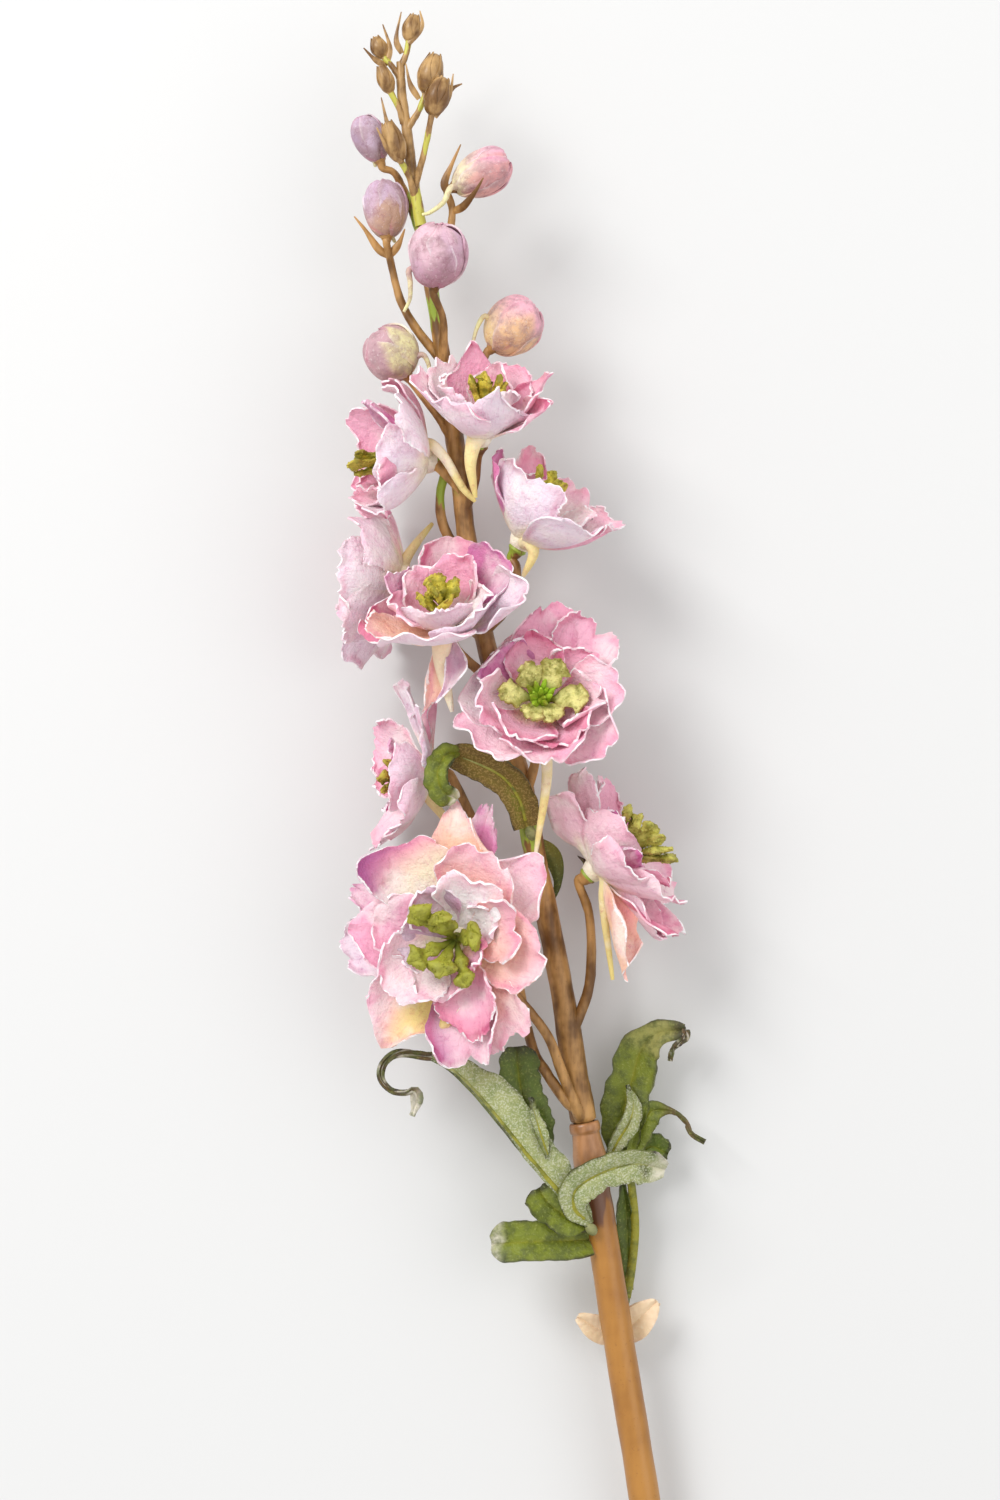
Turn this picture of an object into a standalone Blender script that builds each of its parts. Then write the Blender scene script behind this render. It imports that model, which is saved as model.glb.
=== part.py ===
import math

import bmesh
import bpy
import numpy as np
from mathutils import Matrix, Vector

# Plan frame, in millimetres: X across the spray, Y up the stem, Z towards its front.
# The spray is laid on a surface with its front up by one parent empty.
MM = 0.001
LAY_PITCH_DEG = 3.228
LAY_ROLL_DEG = 0.573
LAY_OFFSET = (-8.05, -67.99, 12.38)
FLOOR_SLAB = (160.0, 520.0, 10.0)
GROUNDED = ("stem_lower", "bloom_4", "bloom_8")

SHEET = 0.7
LEAF_SHEET = 0.8
LEAF_TEETH = 0.13
LONG_MIDLINE = 6
GAP = 0.3
SHORTEST_EDGES = (0.25, 0.2, 0.15, 0.12, 0.1, 0.08, 0.06, 0.04, 0.02, 0.01)
CORNER_STEP = 0.0002
PRESS_MARGIN = 0.75
PRESS_BAND = 3.0

# X, Y, Z and radius along the flower axis, from the collar to the golden tip.
AXIS = [
    (18.4, 52.6, 0.0, 2.9), (16.5, 63.8, 0.0, 2.8), (13.6, 81.4, 0.0, 2.6), (10.6, 96.8, 0.0, 2.5),
    (7.5, 112.2, 0.0, 2.4), (5.1, 125.4, 0.0, 2.4), (1.5, 138.6, 0.0, 2.3), (-2.2, 154.0, 0.0, 2.2),
    (-4.8, 165.0, 0.0, 2.2), (-7.3, 180.4, 0.0, 2.1), (-9.0, 195.8, 0.0, 2.1), (-10.8, 207.9, 0.0, 2.0),
    (-12.1, 217.8, 0.0, 1.8), (-14.3, 231.0, 0.0, 1.5), (-15.8, 239.8, 0.0, 1.4), (-17.3, 249.0, 0.0, 1.3),
]
TIP_AXIS = [
    (-17.4, 249.5, 0.0, 1.3), (-19.1, 259.6, 0.0, 1.2), (-20.2, 268.4, 0.0, 1.15),
    (-21.6, 278.3, 0.0, 1.1), (-21.9, 285.6, 0.0, 0.9),
]

# Lower stem, from the sleeve to the cut end.
LOWER = [
    (19.6, 44.0, 0.0), (22.0, 30.8, 0.0), (26.8, 0.0, 0.0), (32.0, -32.0, 0.0),
    (37.2, -70.0, 0.0), (42.3, -112.0, 0.0), (47.6, -160.0, 0.0),
]
LOWER_RADIUS = 3.4
WIRE_RADIUS = 1.1
WIRE_BORE = 1.4
PEG_RADIUS = 2.1
SLEEVE_BORE = 2.4
SLEEVE_FOOT = (20.5, 40.0, 0.0)
SLEEVE_HEAD = (18.4, 52.6, 0.0)
PEG_DEPTH = 5.5

# Open flowers: base is the receptacle, face the way the flower looks, reach the radius it fills.
# A petal is (clock angle, length, width, lean at the root, lean at the tip, edge lift); a lean is taken
# from the way the flower looks. Arms are the ends of the stamens; spurs and stalks are routes.
BLOOMS = {
    "1": dict(
        base=(-4.4, 203.1, 6.5), face=(0.10, 0.88, 0.42), reach=14.0,
        outer=[
            (0, 21.0, 15.0, 60, 6, 0.25), (45, 20.0, 14.0, 60, 6, 0.3), (86, 20.0, 11.0, 66, 16, 0.4),
            (118, 17.5, 11.0, 70, 16, 0.35), (178, 16.5, 18.0, 66, -6, 0.3), (226, 17.0, 15.0, 70, 8, 0.3),
            (274, 19.5, 14.0, 76, 36, 0.25), (318, 19.0, 14.0, 64, 10, 0.3),
        ],
        inner=[(150, 12.5, 10.0, 46, 0, 0.35), (270, 13.5, 10.0, 46, 6, 0.35)],
        arms=[
            (-6.4, 215.2, 12.3), (-3.2, 216.0, 13.0), (0.2, 215.0, 12.2), (1.4, 213.8, 10.8), (-4.6, 213.6, 9.8),
        ],
        spur=[(-5.6, 201.0, 9.6), (-6.4, 196.0, 10.5), (-5.3, 189.0, 9.0)],
        stalk=[(-7.8, 187.0, 0.6), (-5.6, 192.6, 2.6)],
    ),
    "2": dict(
        base=(-16.7, 197.6, 2.0), face=(-0.94, 0.02, 0.34), reach=16.0,
        outer=[
            (14, 22.5, 10.0, 84, 50, 0.35), (48, 20.5, 17.0, 70, 30, 0.3), (98, 16.5, 17.0, 56, -4, 0.3),
            (146, 19.5, 14.0, 58, 12, 0.3), (196, 20.0, 13.0, 58, 18, 0.3), (250, 18.0, 14.0, 58, 16, 0.3),
            (310, 20.0, 15.0, 66, 28, 0.3),
        ],
        inner=[(10, 18.0, 9.0, 50, 32, 0.45), (120, 16.0, 8.0, 40, 14, 0.4)],
        arms=[(-29.4, 200.4, 7.0), (-30.0, 196.2, 9.0), (-29.2, 194.4, 5.2), (-29.6, 199.0, 3.6)],
        spur=[(-15.6, 201.0, 5.6), (-12.2, 198.0, 7.4), (-8.2, 191.4, 7.0), (-5.4, 188.4, 6.2)],
        stalk=[(-6.0, 172.5, -1.2), (-12.2, 183.0, -1.5), (-13.2, 190.4, -0.4)],
    ),
    "3": dict(
        base=(5.2, 180.8, 2.0), face=(0.48, 0.84, 0.26), reach=16.0,
        outer=[
            (282, 18.5, 19.0, 60, -6, 0.3), (338, 22.0, 12.0, 58, 12, 0.35), (214, 23.0, 15.5, 78, 40, 0.3),
            (180, 22.5, 13.0, 82, 50, 0.3), (24, 21.0, 12.0, 56, 10, 0.35), (86, 19.0, 14.0, 52, 18, 0.3),
            (138, 20.5, 14.0, 68, 36, 0.3),
        ],
        inner=[(20, 14.5, 10.0, 42, 4, 0.35), (140, 15.0, 10.0, 46, 16, 0.35)],
        arms=[(9.0, 196.0, 7.0), (12.0, 194.8, 8.4), (14.5, 192.2, 6.6), (13.2, 193.4, 2.6)],
        spur=[(6.6, 179.2, 6.2), (7.2, 176.6, 7.2), (5.0, 172.0, 6.6)],
        stalk=[(-3.6, 160.0, 0.6), (2.6, 167.0, 1.5), (3.6, 174.0, 1.4)],
    ),
    "4": dict(
        base=(-22.0, 172.4, -2.0), face=(-0.90, 0.05, -0.20), reach=18.0,
        outer=[
            (8, 20.0, 14.0, 84, 34, 0.3), (46, 19.5, 16.0, 76, 44, 0.25), (92, 17.5, 17.0, 70, 46, 0.25),
            (134, 20.0, 13.0, 64, 46, 0.25), (172, 21.0, 15.0, 72, 62, 0.25), (224, 20.0, 15.0, 72, 62, 0.25),
            (272, 19.3, 15.0, 76, 70, 0.25), (318, 20.0, 14.0, 72, 50, 0.25),
        ],
        inner=[(60, 13.0, 10.0, 46, 30, 0.3), (260, 13.0, 10.0, 46, 30, 0.3)],
        arms=[(-30.4, 175.6, -3.6), (-30.8, 172.4, -1.2), (-30.4, 169.6, -4.6)],
        spur=[(-21.0, 175.8, -2.4), (-18.4, 180.0, -3.0), (-15.0, 184.4, -5.6)],
        stalk=[(-3.0, 158.0, -0.8), (-11.0, 165.5, -2.6)],
    ),
    "5": dict(
        base=(-11.6, 161.8, 8.4), face=(-0.20, 0.68, 0.70), reach=18.5,
        outer=[
            (2, 19.5, 17.0, 74, 46, 0.25), (330, 18.5, 16.0, 76, 50, 0.25), (44, 20.5, 14.0, 74, 46, 0.35),
            (88, 20.0, 17.0, 74, 40, 0.3), (132, 19.0, 18.0, 72, 24, 0.3), (180, 18.5, 21.0, 72, 16, 0.25),
            (226, 18.5, 14.0, 76, 36, 0.3), (262, 19.0, 15.0, 80, 50, 0.3),
        ],
        inner=[
            (20, 14.0, 12.0, 58, 26, 0.3), (96, 14.0, 13.0, 56, 20, 0.35), (170, 13.5, 15.0, 54, 4, 0.3),
            (250, 13.5, 13.0, 56, 18, 0.3),
        ],
        arms=[
            (-15.0, 169.8, 17.2), (-17.4, 167.0, 15.6), (-10.8, 166.8, 16.8), (-9.6, 171.2, 14.2), (-14.4, 172.0, 12.8),
        ],
        spur=[(-12.2, 160.4, 10.8), (-12.6, 153.0, 11.0), (-10.4, 142.5, 9.6)],
        stalk=[(-0.6, 147.5, 1.2), (-4.6, 151.5, 3.0), (-8.4, 155.0, 3.8)],
    ),
    "6": dict(
        base=(8.6, 144.2, 8.5), face=(0.03, 0.34, 0.94), reach=19.0,
        outer=[
            (2, 21.5, 16.5, 76, 86, 0.2), (38, 20.5, 15.0, 76, 84, 0.25), (88, 18.5, 17.0, 74, 58, 0.25),
            (128, 19.0, 17.0, 74, 48, 0.25), (176, 19.0, 19.0, 72, 42, 0.25), (232, 19.5, 18.0, 74, 50, 0.25),
            (280, 20.0, 18.0, 76, 68, 0.2), (320, 19.0, 14.0, 78, 78, 0.2),
        ],
        inner=[
            (350, 14.0, 13.0, 66, 60, 0.3), (50, 14.5, 11.0, 66, 62, 0.3), (100, 15.0, 13.0, 64, 38, 0.3),
            (150, 15.5, 15.0, 64, 30, 0.3), (204, 15.5, 15.0, 64, 30, 0.3), (254, 15.0, 14.0, 64, 36, 0.3),
        ],
        arms=[
            (5.4, 152.6, 16.4), (13.0, 153.4, 16.4), (0.2, 146.8, 16.8), (18.6, 145.4, 16.8), (6.4, 141.2, 17.8),
            (11.6, 140.8, 17.8),
        ],
        spur=[(8.8, 140.0, 9.4), (10.2, 129.0, 9.4), (7.8, 112.0, 9.0)],
        stalk=[(5.4, 124.0, 1.2), (7.8, 132.0, 2.0)],
    ),
    "7": dict(
        base=(-16.0, 128.5, -2.0), face=(-0.92, 0.08, 0.26), reach=18.0,
        outer=[
            (6, 20.5, 10.0, 80, 52, 0.3), (46, 19.0, 15.0, 72, 46, 0.25), (92, 16.5, 15.0, 64, 30, 0.3),
            (132, 18.0, 15.0, 66, 40, 0.3), (166, 18.0, 12.0, 72, 56, 0.3), (214, 19.0, 15.0, 66, 50, 0.25),
            (296, 19.0, 15.0, 66, 50, 0.25), (340, 20.0, 9.0, 92, 84, 0.4),
        ],
        inner=[(60, 12.5, 10.0, 46, 26, 0.3), (260, 12.5, 10.0, 46, 26, 0.3)],
        arms=[(-26.0, 125.4, 2.8), (-26.8, 128.0, 4.0), (-25.6, 131.8, 2.4)],
        spur=[(-16.2, 124.4, -3.2), (-12.0, 118.6, -6.6), (-7.6, 110.0, -9.4)],
        stalk=[(16.9, 62.0, -1.0), (9.0, 78.0, -5.5), (1.5, 97.0, -7.5), (-4.5, 115.0, -5.0)],
    ),
    "8": dict(
        base=(21.4, 108.4, 0.5), face=(0.72, 0.64, 0.24), reach=20.0,
        outer=[
            (352, 22.5, 9.0, 58, 46, 0.3), (328, 21.5, 11.5, 82, 68, 0.3), (284, 18.0, 15.0, 56, 18, 0.3),
            (242, 19.5, 16.0, 68, 34, 0.3), (204, 21.5, 15.0, 76, 42, 0.3), (178, 21.5, 13.0, 84, 58, 0.3),
            (24, 20.0, 13.0, 62, 34, 0.25), (72, 20.5, 15.0, 74, 62, 0.25), (124, 20.5, 15.0, 76, 60, 0.25),
            (218, 24.0, 9.5, 112, 124, 0.75),
        ],
        inner=[(300, 15.0, 9.0, 46, 20, 0.35), (244, 15.0, 11.0, 50, 16, 0.35), (190, 16.0, 11.0, 60, 36, 0.35)],
        arms=[
            (28.6, 122.0, 5.0), (31.2, 120.2, 6.8), (33.8, 118.0, 7.4), (35.8, 115.4, 7.0), (37.6, 112.8, 5.6),
            (38.6, 110.4, 4.2),
        ],
        spur=[(23.0, 106.4, 2.8), (22.6, 100.0, 4.8), (24.6, 84.0, 5.0)],
        stalk=[(15.4, 71.0, 0.6), (19.6, 82.5, 0.8), (19.8, 96.8, -0.4)],
    ),
    "9": dict(
        base=(-8.8, 93.4, 10.5), face=(-0.30, -0.02, 0.95), reach=28.0,
        outer=[
            (310, 27.5, 20.0, 76, 86, 0.14), (357, 27.0, 17.5, 78, 84, 0.16), (24, 21.0, 18.0, 68, 74, 0.2),
            (46, 25.5, 14.0, 80, 92, 0.12), (98, 21.0, 18.5, 76, 74, 0.25), (146, 26.0, 15.0, 76, 86, 0.2),
            (176, 28.0, 19.0, 78, 92, 0.14), (219, 30.0, 21.0, 78, 92, 0.12), (276, 24.0, 18.0, 74, 82, 0.2),
            (252, 25.0, 15.0, 80, 96, 0.2), (13, 25.0, 11.0, 84, 99, 0.4),
        ],
        inner=[
            (28, 17.0, 15.0, 58, 60, 0.25), (284, 17.5, 14.0, 64, 66, 0.25), (232, 18.0, 17.0, 66, 58, 0.25),
            (166, 20.5, 14.0, 68, 72, 0.25), (78, 16.5, 14.0, 64, 62, 0.25), (200, 14.0, 14.0, 60, 46, 0.3),
            (330, 13.5, 12.0, 58, 50, 0.3), (262, 12.5, 12.0, 60, 48, 0.3),
        ],
        arms=[
            (-18.8, 100.4, 20.6), (-13.4, 98.8, 21.4), (-19.4, 89.0, 20.4), (-13.4, 86.0, 21.0), (-7.2, 84.0, 20.4),
            (-4.8, 94.4, 20.8),
        ],
        spur=[(-12.2, 96.0, 9.6), (-15.4, 100.5, 5.0), (-17.0, 107.5, 0.0)],
        stalk=[(16.2, 66.0, 1.0), (10.0, 70.0, 3.2), (0.0, 82.0, 4.0)],
    ),
}
RECEPTACLE_RADIUS = 3.0
RECEPTACLE_BACK = 2.4
RECEPTACLE_FRONT = 1.0
CALYX_RADIUS = 2.1
ROOT_RADIUS = 1.9
ROOT_STEP = 0.7
PETAL_ROLL_DEG = 3
TIP_ROUNDING = 0.13
PETAL_STAGGER_DEG = 8
ANTHER_RADIUS = {"6": 1.7, "9": 1.8}
SMALL_ANTHER_RADIUS = 1.25
RUFFLE = 0.02
BUD_TAPER = 0.1
BRACT_WIDTH = 2.0
AXIS_BRACT = [(7.6, 114.0, -0.6), (11.6, 110.6, -3.0), (12.8, 105.0, -4.2), (11.1, 99.7, -4.4)]
AXIS_BRACT_WIDTH = 4.2

# Round buds: centre, width, length, the way the tip points, and the stalk from the axis to the foot.
# A spur is (across, along, forward) from the centre. Bracts are routes in the plan frame.
BUDS = {
    "1": dict(
        centre=(-28.6, 268.8, -0.8), size=(7.2, 10.3), face=(-0.40, 0.90, 0.10),
        stalk=[(-17.3, 247.2, -1.0), (-18.4, 250.6, -3.8), (-20.6, 256.6, -4.4), (-23.2, 261.4, -2.4)],
        spur=[(-1.8, -4.6, 1.8), (-2.6, -6.4, 1.6), (-2.8, -8.4, 1.2)],
    ),
    "2": dict(
        centre=(-4.0, 260.7, 1.5), size=(9.6, 13.4), face=(0.90, 0.42, 0.10),
        stalk=[(-15.6, 236.0, 0.3), (-11.6, 246.0, 0.8), (-10.5, 252.6, 1.2)],
        spur=[(0.3, -7.6, 3.0), (2.4, -10.4, 3.0), (3.1, -14.0, 2.6), (2.7, -15.7, 2.2)],
        bracts=[
            [(-11.2, 256.2, 1.2), (-12.2, 258.6, 1.6), (-10.6, 262.6, 1.9), (-8.6, 267.0, 2.0)],
            [(-10.4, 252.4, 1.2), (-8.0, 253.2, 3.4), (-5.4, 256.0, 5.9), (-3.6, 258.8, 7.0)],
        ],
    ),
    "3": dict(
        centre=(-25.3, 253.4, -1.0), size=(9.6, 12.4), face=(-0.05, 1.00, -0.10),
        stalk=[(-13.6, 220.8, -0.4), (-18.7, 227.4, -1.2), (-22.0, 233.5, -1.5), (-24.0, 241.4, -1.5)],
        spur=[(-1.8, -6.0, 1.8), (-2.4, -9.0, 1.8), (-2.0, -12.5, 1.8)],
        bracts=[
            [(-24.4, 243.0, -1.5), (-26.8, 244.6, -1.2), (-29.6, 248.6, -1.0), (-32.1, 251.7, -1.0)],
            [(-24.4, 243.0, -1.5), (-22.3, 245.6, -0.6), (-20.9, 248.8, 0.2)],
        ],
    ),
    "4": dict(
        centre=(-13.6, 241.6, 9.4), size=(12.8, 13.6), face=(0.10, 0.95, 0.30),
        stalk=[(-12.6, 219.0, 0.8), (-12.4, 228.0, 4.2)],
        spur=[(-2.4, -6.6, 1.8), (-3.6, -10.0, 1.8), (-2.6, -15.0, 1.8)],
    ),
    "5": dict(
        centre=(2.9, 227.6, -2.0), size=(12.2, 13.2), face=(0.70, 0.70, 0.05),
        stalk=[(-10.4, 207.0, -0.4), (-6.0, 214.5, -2.2)],
        spur=[(2.4, -6.4, 1.8), (2.0, -10.0, 1.8), (-1.5, -14.5, 1.8)],
    ),
    "6": dict(
        centre=(-24.0, 221.2, 0.5), size=(12.0, 11.8), face=(-0.60, 0.80, 0.10),
        stalk=[(-10.0, 201.0, 0.4), (-13.4, 207.0, 0.8)],
        spur=[(2.6, -5.2, 1.8), (3.4, -7.0, 1.8), (3.8, -8.6, 1.8)],
    ),
}

# Golden buds at the tip: centre, width, length, the way they point, where they leave the axis, bracts.
TIP_BUDS = [
    ((-19.4, 293.0, 0.0), (3.8, 6.2), (0.25, 1.0, 0.0), (-21.9, 284.5, 0.0),
     [[(-21.6, 287.4, 0.2), (-22.8, 290.4, 0.6), (-21.7, 296.4, 0.6)],
      [(-20.0, 289.4, 0.6), (-17.2, 293.2, 0.8), (-17.6, 296.6, 0.8)]]),
    ((-26.6, 288.9, -0.6), (3.5, 5.0), (-0.4, 1.0, 0.0), (-21.8, 281.5, 0.0),
     [[(-25.0, 284.6, -0.4), (-27.6, 286.2, -0.2), (-30.0, 288.6, 0.0)],
      [(-24.8, 285.4, -0.4), (-24.3, 289.0, -0.2), (-25.8, 293.8, 0.0)]]),
    ((-25.1, 281.4, 2.0), (3.4, 6.4), (-0.35, 1.0, 0.2), (-21.2, 272.0, 0.2), []),
    ((-15.2, 282.7, 1.0), (5.3, 9.2), (0.25, 1.0, 0.0), (-20.2, 271.0, 0.2),
     [[(-17.8, 277.2, 0.8), (-19.7, 280.4, 1.0), (-20.7, 284.9, 1.2)]]),
    ((-13.6, 277.0, 5.2), (5.2, 8.6), (0.35, 1.0, 0.1), (-18.9, 257.5, 0.4),
     [[(-14.2, 272.4, 4.8), (-11.1, 277.0, 5.2), (-10.2, 281.8, 5.2)],
      [(-13.0, 275.6, 4.8), (-10.6, 278.6, 4.6), (-8.3, 279.8, 4.4)]]),
    ((-23.2, 267.2, 4.6), (4.5, 9.2), (-0.35, 1.0, 0.3), (-18.7, 256.0, 0.3),
     [[(-21.6, 262.6, 4.4), (-24.8, 266.0, 5.9), (-26.9, 269.9, 6.0)],
      [(-22.6, 264.4, 3.4), (-24.6, 271.0, 3.6), (-26.0, 277.0, 3.4)]]),
]

# Leaves: every lobe is a midline, its half widths left and right, and the way its upper face looks.
LEAVES = {
    "leaf_upper": dict(
        lobes=[
            ([(6.3, 116.7, 3.8), (4.4, 123.9, 5.0), (0.4, 129.2, 5.6), (-6.5, 133.1, 7.0), (-11.3, 134.2, 8.8)],
             (3.0, 3.4), (0.2, -0.3, 1.0)),
            ([(-8.6, 133.8, 8.2), (-11.6, 133.2, 11.4), (-13.5, 129.2, 14.2), (-12.4, 125.3, 13.8), (-9.4, 123.5, 12.2)],
             (2.2, 2.6), (-0.3, -0.1, 1.0)),
        ],
        knob=(6.8, 116.0, 4.4),
    ),
    "leaf_front": dict(
        lobes=[
            ([(19.2, 30.8, 5.6), (13.5, 37.1, 7.6), (6.3, 45.6, 8.8), (0.0, 53.5, 8.2), (-5.6, 59.9, 6.4),
              (-11.3, 65.0, 5.0), (-17.6, 68.0, 4.8)], (0.9, 7.0), (0.5, 0.1, 0.9)),
            ([(-15.0, 67.0, 4.9), (-21.8, 68.0, 5.0), (-25.3, 65.8, 5.8), (-25.9, 62.8, 7.2), (-23.9, 60.3, 8.4),
              (-20.8, 59.7, 9.0), (-18.6, 60.4, 9.3), (-18.0, 58.4, 9.4), (-19.1, 54.7, 9.0)],
             (1.0, 1.1), (0.1, -0.1, 1.0)),
            ([(14.6, 39.0, 6.8), (11.4, 46.9, 5.2), (8.3, 54.2, 4.2), (5.3, 61.1, 3.2), (1.5, 68.0, 2.8)],
             (5.4, 4.6), (0.2, 0.2, 1.0)),
            ([(19.6, 30.8, 5.6), (16.3, 34.5, 7.2), (16.5, 38.6, 8.4), (21.7, 41.7, 9.0), (29.4, 43.7, 8.0),
              (36.4, 42.6, 6.0)], (3.4, 3.6), (0.0, -0.3, 1.0)),
            ([(19.7, 28.1, 5.2), (13.5, 27.4, 6.8), (5.7, 27.0, 6.6), (-1.5, 26.7, 5.0)],
             (4.2, 4.2), (0.0, 0.3, 1.0)),
            ([(19.6, 30.7, 5.4), (14.4, 33.5, 6.4), (10.3, 36.3, 6.0), (8.5, 38.6, 5.2)],
             (3.0, 3.2), (0.2, 0.2, 1.0)),
        ],
        knob=(19.9, 29.6, 5.1),
    ),
    "leaf_back": dict(
        lobes=[
            ([(27.6, 40.0, -5.2), (27.1, 47.0, -6.0), (27.6, 54.4, -6.8), (29.3, 60.8, -7.4), (31.3, 67.5, -7.2),
              (35.5, 72.4, -5.6), (42.0, 72.1, -3.0)], (5.0, 5.0), (-0.2, 0.1, 1.0)),
            ([(28.6, 38.0, -5.0), (29.2, 47.8, -3.6), (30.6, 54.0, -3.8), (29.1, 59.4, -5.0)],
             (1.4, 2.4), (0.1, 0.1, 1.0)),
            ([(28.6, 42.0, -5.4), (32.4, 53.0, -5.0), (37.2, 54.4, -4.8), (40.7, 52.4, -3.8), (42.4, 49.4, -2.6),
              (45.2, 47.7, -2.0)], (2.6, 2.8), (0.1, 0.1, 1.0)),
            ([(28.8, 40.0, -5.2), (32.8, 46.0, -6.0), (37.3, 44.6, -5.6)], (2.6, 2.6), (0.1, 0.1, 1.0)),
            ([(29.0, 14.5, -5.2), (28.4, 23.4, -5.0), (28.0, 32.2, -5.2), (27.2, 39.7, -5.4)],
             (2.6, 1.4), (0.0, 0.0, 1.0)),
        ],
        stalk=[(27.8, 13.0, -4.6), (29.0, 19.0, -5.2), (29.9, 28.9, -5.2), (28.8, 41.0, -5.2)],
        knob=(27.6, 12.6, -4.8),
    ),
    "base_bract": dict(
        lobes=[
            ([(26.0, 2.4, -4.6), (22.4, 4.0, -4.4), (17.6, 9.7, -2.4)], (2.8, 2.8), (-0.3, 0.3, 1.0)),
            ([(26.0, 2.4, -4.6), (30.4, 4.5, -4.4), (34.5, 11.5, -2.4)], (3.2, 3.2), (0.3, 0.3, 1.0)),
        ],
        knob=(26.2, 3.0, -5.0),
    ),
}

COLOURS = {
    "petal": (0.90, 0.66, 0.78), "stamen": (0.55, 0.55, 0.12), "bud": (0.86, 0.58, 0.72),
    "axis": (0.42, 0.28, 0.20), "tip": (0.55, 0.40, 0.20), "lower": (0.58, 0.34, 0.15),
    "leaf": (0.30, 0.42, 0.14), "bract": (0.86, 0.80, 0.60), "wire": (0.55, 0.55, 0.56),
}


def unit(vector):
    vector = np.asarray(vector, float)
    return vector / np.linalg.norm(vector)


def clear_scene():
    for item in list(bpy.data.objects):
        bpy.data.objects.remove(item, do_unlink=True)
    for kind in (bpy.data.meshes, bpy.data.curves, bpy.data.materials):
        for item in list(kind):
            kind.remove(item)


def collection(name):
    made = bpy.data.collections.new(name)
    bpy.context.scene.collection.children.link(made)
    return made


def principled(name, colour, roughness, metallic=0.0):
    material = bpy.data.materials.new(name)
    material.use_nodes = True
    shader = material.node_tree.nodes["Principled BSDF"]
    shader.inputs["Base Color"].default_value = (*colour, 1.0)
    shader.inputs["Roughness"].default_value = roughness
    shader.inputs["Metallic"].default_value = metallic
    return material


def smooth_path(points, spans):
    """Points of a Catmull-Rom curve through the given points, spans to each stretch."""
    points = np.asarray(points, float)
    padded = np.vstack([2 * points[0] - points[1], points, 2 * points[-1] - points[-2]])
    path = []
    for index in range(1, len(padded) - 2):
        before, start, end, after = padded[index - 1:index + 3]
        for step in range(spans):
            t = step / spans
            path.append(0.5 * (
                2 * start + (end - before) * t + (2 * before - 5 * start + 4 * end - after) * t * t
                + (3 * start - before - 3 * end + after) * t ** 3
            ))
    path.append(points[-1])
    return np.array(path)


def axis_at(height):
    """Centre and radius of the flower axis where its Y is height."""
    table = np.array(AXIS + TIP_AXIS[1:])
    return tuple(np.interp(height, table[:, 1], table[:, column]) for column in (0, 2, 3))


def new_object(name, mesh, matrix=None):
    item = bpy.data.objects.new(name, mesh)
    WORKBENCH.objects.link(item)
    if matrix is not None:
        mesh.transform(matrix)
    return item


def tube(name, path, radii, sides_setting=1):
    """A round tapering rod along the path, with closed ends, as a mesh."""
    curve = bpy.data.curves.new(name, "CURVE")
    curve.dimensions = "3D"
    curve.bevel_depth = 1.0
    curve.bevel_resolution = sides_setting
    curve.use_fill_caps = True
    spline = curve.splines.new("POLY")
    spline.points.add(len(path) - 1)
    for point, place, radius in zip(spline.points, path, radii):
        point.co = (*place, 1.0)
        point.radius = radius
    guide = bpy.data.objects.new(name, curve)
    WORKBENCH.objects.link(guide)
    depsgraph = bpy.context.evaluated_depsgraph_get()
    mesh = bpy.data.meshes.new_from_object(guide.evaluated_get(depsgraph))
    bpy.data.objects.remove(guide, do_unlink=True)
    shape = bmesh.new()
    shape.from_mesh(mesh)
    bmesh.ops.remove_doubles(shape, verts=shape.verts, dist=0.001)
    bmesh.ops.triangulate(shape, faces=shape.faces)
    shape.to_mesh(mesh)
    shape.free()
    return new_object(name, mesh)


def frame_along(direction, origin):
    """Matrix that takes +Z to the direction and the origin to its place."""
    turn = Vector(direction).to_track_quat("Z", "Y").to_matrix().to_4x4()
    return Matrix.Translation(Vector(origin)) @ turn


def ball(name, centre, radii, direction, rings=(8, 5)):
    mesh = bpy.data.meshes.new(name)
    shape = bmesh.new()
    bmesh.ops.create_uvsphere(shape, u_segments=rings[0], v_segments=rings[1], radius=1.0)
    bmesh.ops.scale(shape, vec=(radii[0], radii[0], radii[1]), verts=shape.verts)
    bmesh.ops.triangulate(shape, faces=shape.faces)
    shape.to_mesh(mesh)
    shape.free()
    return new_object(name, mesh, frame_along(direction, centre))


def rod(name, start, end, radius_start, radius_end, sides):
    start, end = Vector(start), Vector(end)
    mesh = bpy.data.meshes.new(name)
    shape = bmesh.new()
    bmesh.ops.create_cone(
        shape, cap_ends=True, cap_tris=True, segments=sides,
        radius1=radius_start, radius2=radius_end, depth=(end - start).length,
    )
    bmesh.ops.triangulate(shape, faces=shape.faces)
    shape.to_mesh(mesh)
    shape.free()
    return new_object(name, mesh, frame_along(end - start, (start + end) / 2))


def sheet(name, grid, thickness):
    """A closed blade: an open grid of triangles with an even wall."""
    rows, columns = grid.shape[:2]
    faces = []
    for row in range(rows - 1):
        for column in range(columns - 1):
            a = row * columns + column
            b, c, d = a + 1, a + columns + 1, a + columns
            if (row + column) % 2:
                faces += [(a, b, c), (a, c, d)]
            else:
                faces += [(a, b, d), (b, c, d)]
    mesh = bpy.data.meshes.new(name)
    mesh.from_pydata([tuple(point) for point in grid.reshape(-1, 3)], [], faces)
    item = new_object(name, mesh)
    wall = item.modifiers.new("wall", "SOLIDIFY")
    wall.thickness = thickness
    wall.offset = 0.0
    return item


def signed_volume(faces):
    volume = 0.0
    for face in faces:
        first = face.verts[0].co
        for second, third in zip(face.verts[1:-1], face.verts[2:]):
            volume += first.dot(second.co.cross(third.co)) / 6
    return volume


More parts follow.
